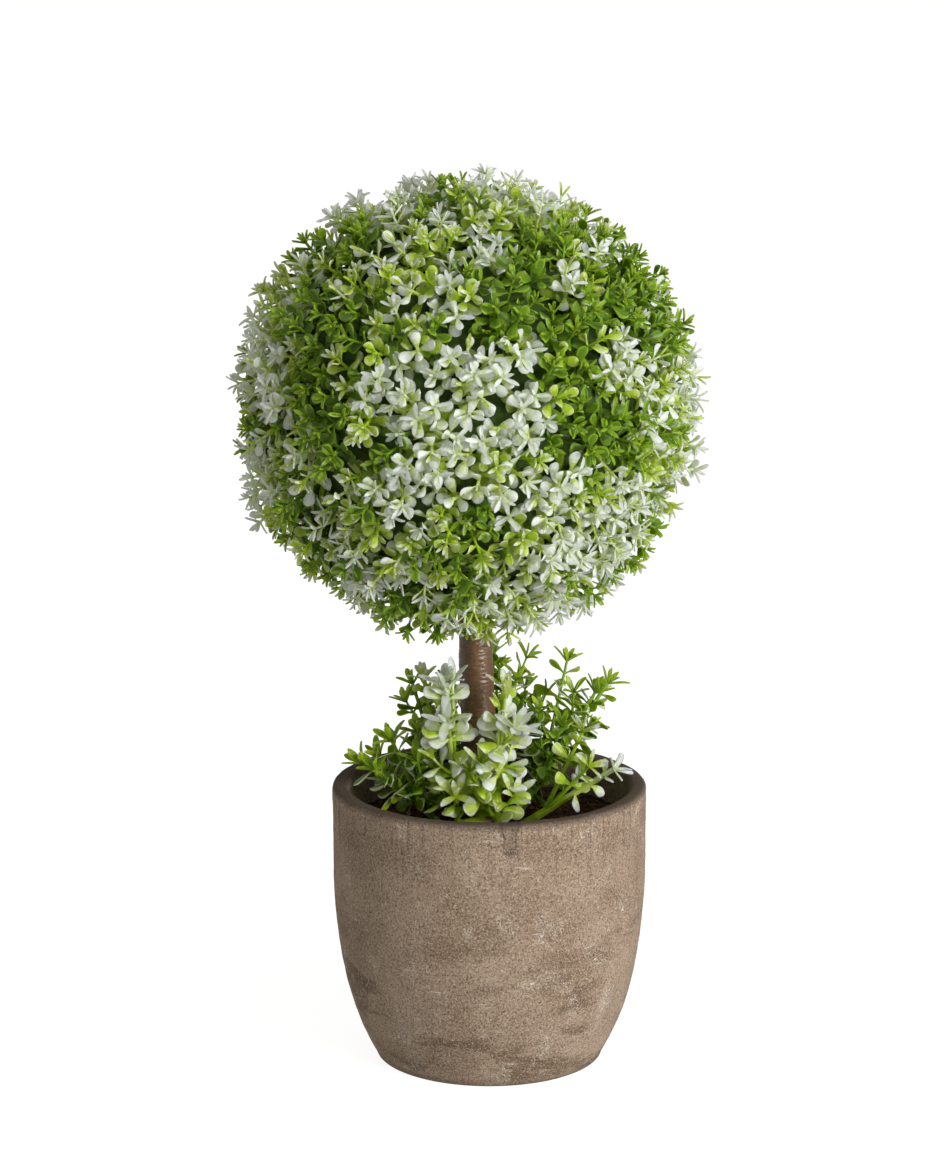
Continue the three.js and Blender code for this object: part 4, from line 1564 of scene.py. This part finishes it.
def clear_of_pot(point):
    """Whether a point keeps off the stem, the fill and the pot's wall."""
    over_rim = point.z > POT_HEIGHT + BASE_MARGIN
    in_pot = math.hypot(point.x, point.y) < pot_radius(FILL_TOP) - POT_WALL - BASE_MARGIN
    return point.z > FILL_TOP + BASE_MARGIN and (over_rim or in_pot) and off_trunk(point) > BASE_MARGIN


def base_pairs(length, habit):
    """Pairs at even gaps back from the tip, down to the bare foot of a limb."""
    gaps = np.arange(BASE_FIRST_GAP, length * (1 - habit["bare"]), habit["gap"]).tolist()
    steps = [min(tier, len(BASE_LENGTHS) - 1) for tier in range(len(gaps))]
    return [
        (gap, BASE_OPENINGS[step], BASE_LENGTHS[step] * habit["leaf"]) for gap, step in zip(gaps, steps)
    ]


def grow_limb(sprig, path, radius, kind, twist, habit, draw):
    """A limb of a loose sprig, with its stem and its leaves."""
    pairs = base_pairs((path[-1] - path[0]).length, habit)
    sprig["stems"].append((path, radius, SPRIG_TINTS[kind]["stem"]))
    grow_sprig(sprig, path, kind, twist, pairs, habit, draw, clear_of_pot)


def grow_shoots(sprig, foot, tip, bearing, stretch, left_out, kinds, twist, habit, draw):
    """Side shoots of a main stem, each bending up towards its end."""
    for k, (name, (share, turn, lean, length)) in enumerate(SHOOTS.items()):
        root = foot.lerp(tip, share)
        aside = math.radians(turn + draw.uniform(-SHOOT_TURN_SPREAD, SHOOT_TURN_SPREAD))
        side = heading(bearing + aside, math.radians(lean))
        reach = length * stretch * draw.uniform(*SHOOT_LENGTHS)
        end = root + (side + UP * SHOOT_RISE).normalized() * reach
        if name not in left_out and clear_of_pot(end):
            path = bent_path(root, root + side * reach / 2, end)
            kind = kinds[LOW_SHOOT_KIND if share < SHOOT_LOW else HIGH_SHOOT_KIND]
            grow_limb(sprig, path, SHOOT_RADIUS, kind, twist + k, dict(habit, bare=SHOOT_BARE), draw)


print("shoots that start below", SHOOT_LOW, "of the way up count as low ones")

# %% Grow and cast the loose sprigs
BASE_HABIT = {"upper_pairs": 4, "bend": (0.05, 0.25), "roll": 0.4, "star_width": 0.34}
BASE_STAR_SCALE = 1.8
BASE_LEAF_SEED = 41


def loose_sprig(index, shape, left_out, kinds, numbers, draw):
    """One loose sprig: its main stem and its two side twigs, with their shoots and leaves."""
    lean, length, thick, gap, bare, stretch, leaf, aside = shape
    sprig = bare_sprigs()
    bearing = math.radians(BASE_FIRST_BEARING) + index * 2 * math.pi / len(BASE_SPRIGS)
    tilt = math.radians(lean)
    lookout = heading(bearing + math.radians(aside), math.pi / 2)
    star_scale = BASE_STAR_SCALE * leaf
    habit = dict(BASE_HABIT, gap=gap, bare=bare, leaf=leaf, star_scale=star_scale, lookout=lookout)
    middle = Vector((TRUNK_FOOT_X, 0, TRUNK_FOOT - BASE_STEM_SUNK))
    foot = middle + heading(bearing, math.pi / 2) * BASE_FOOT_RADIUS
    tip = foot + heading(bearing, tilt) * length
    fork = foot.lerp(tip, BASE_FORK)
    limbs = [(foot, tip, thick)]
    for turn, lean_share, length_share in BASE_TWIGS:
        side = heading(bearing + math.radians(turn), tilt * lean_share)
        limbs.append((fork, fork + side * length * length_share, BASE_TWIG_RADIUS))
    for (root, end, radius), kind in zip(limbs, kinds):
        path = bent_path(root, root.lerp(end, 0.5), end)
        twist = next(numbers) * math.pi
        grow_limb(sprig, path, radius, kind, twist, habit, draw)
    grow_shoots(sprig, foot, tip, bearing, stretch, left_out, kinds, twist, habit, draw)
    return sprig


base_numbers = seeded(BASE_SEED)
base_draw = random.Random(BASE_LEAF_SEED)
for index, (node, slot, kinds) in enumerate(BASE_SPRIGS):
    left_out = SHOOTS_LEFT_OUT.get(node, ())
    sprig = loose_sprig(index, BASE_SHAPES[node], left_out, kinds, base_numbers, base_draw)
    cast_in_pieces(node + "_spoon_leaves", sprig["spoons"], spoon_mould, node, slot)
    cast_in_pieces(node + "_star_leaves", sprig["stars"], star_mould, node, slot)
    stem_points, stem_faces, stem_tints = cast_stems(sprig["stems"])
    piece_from(node + "_stems", stem_points, stem_faces, leaf_plastics, node, slot, stem_tints)
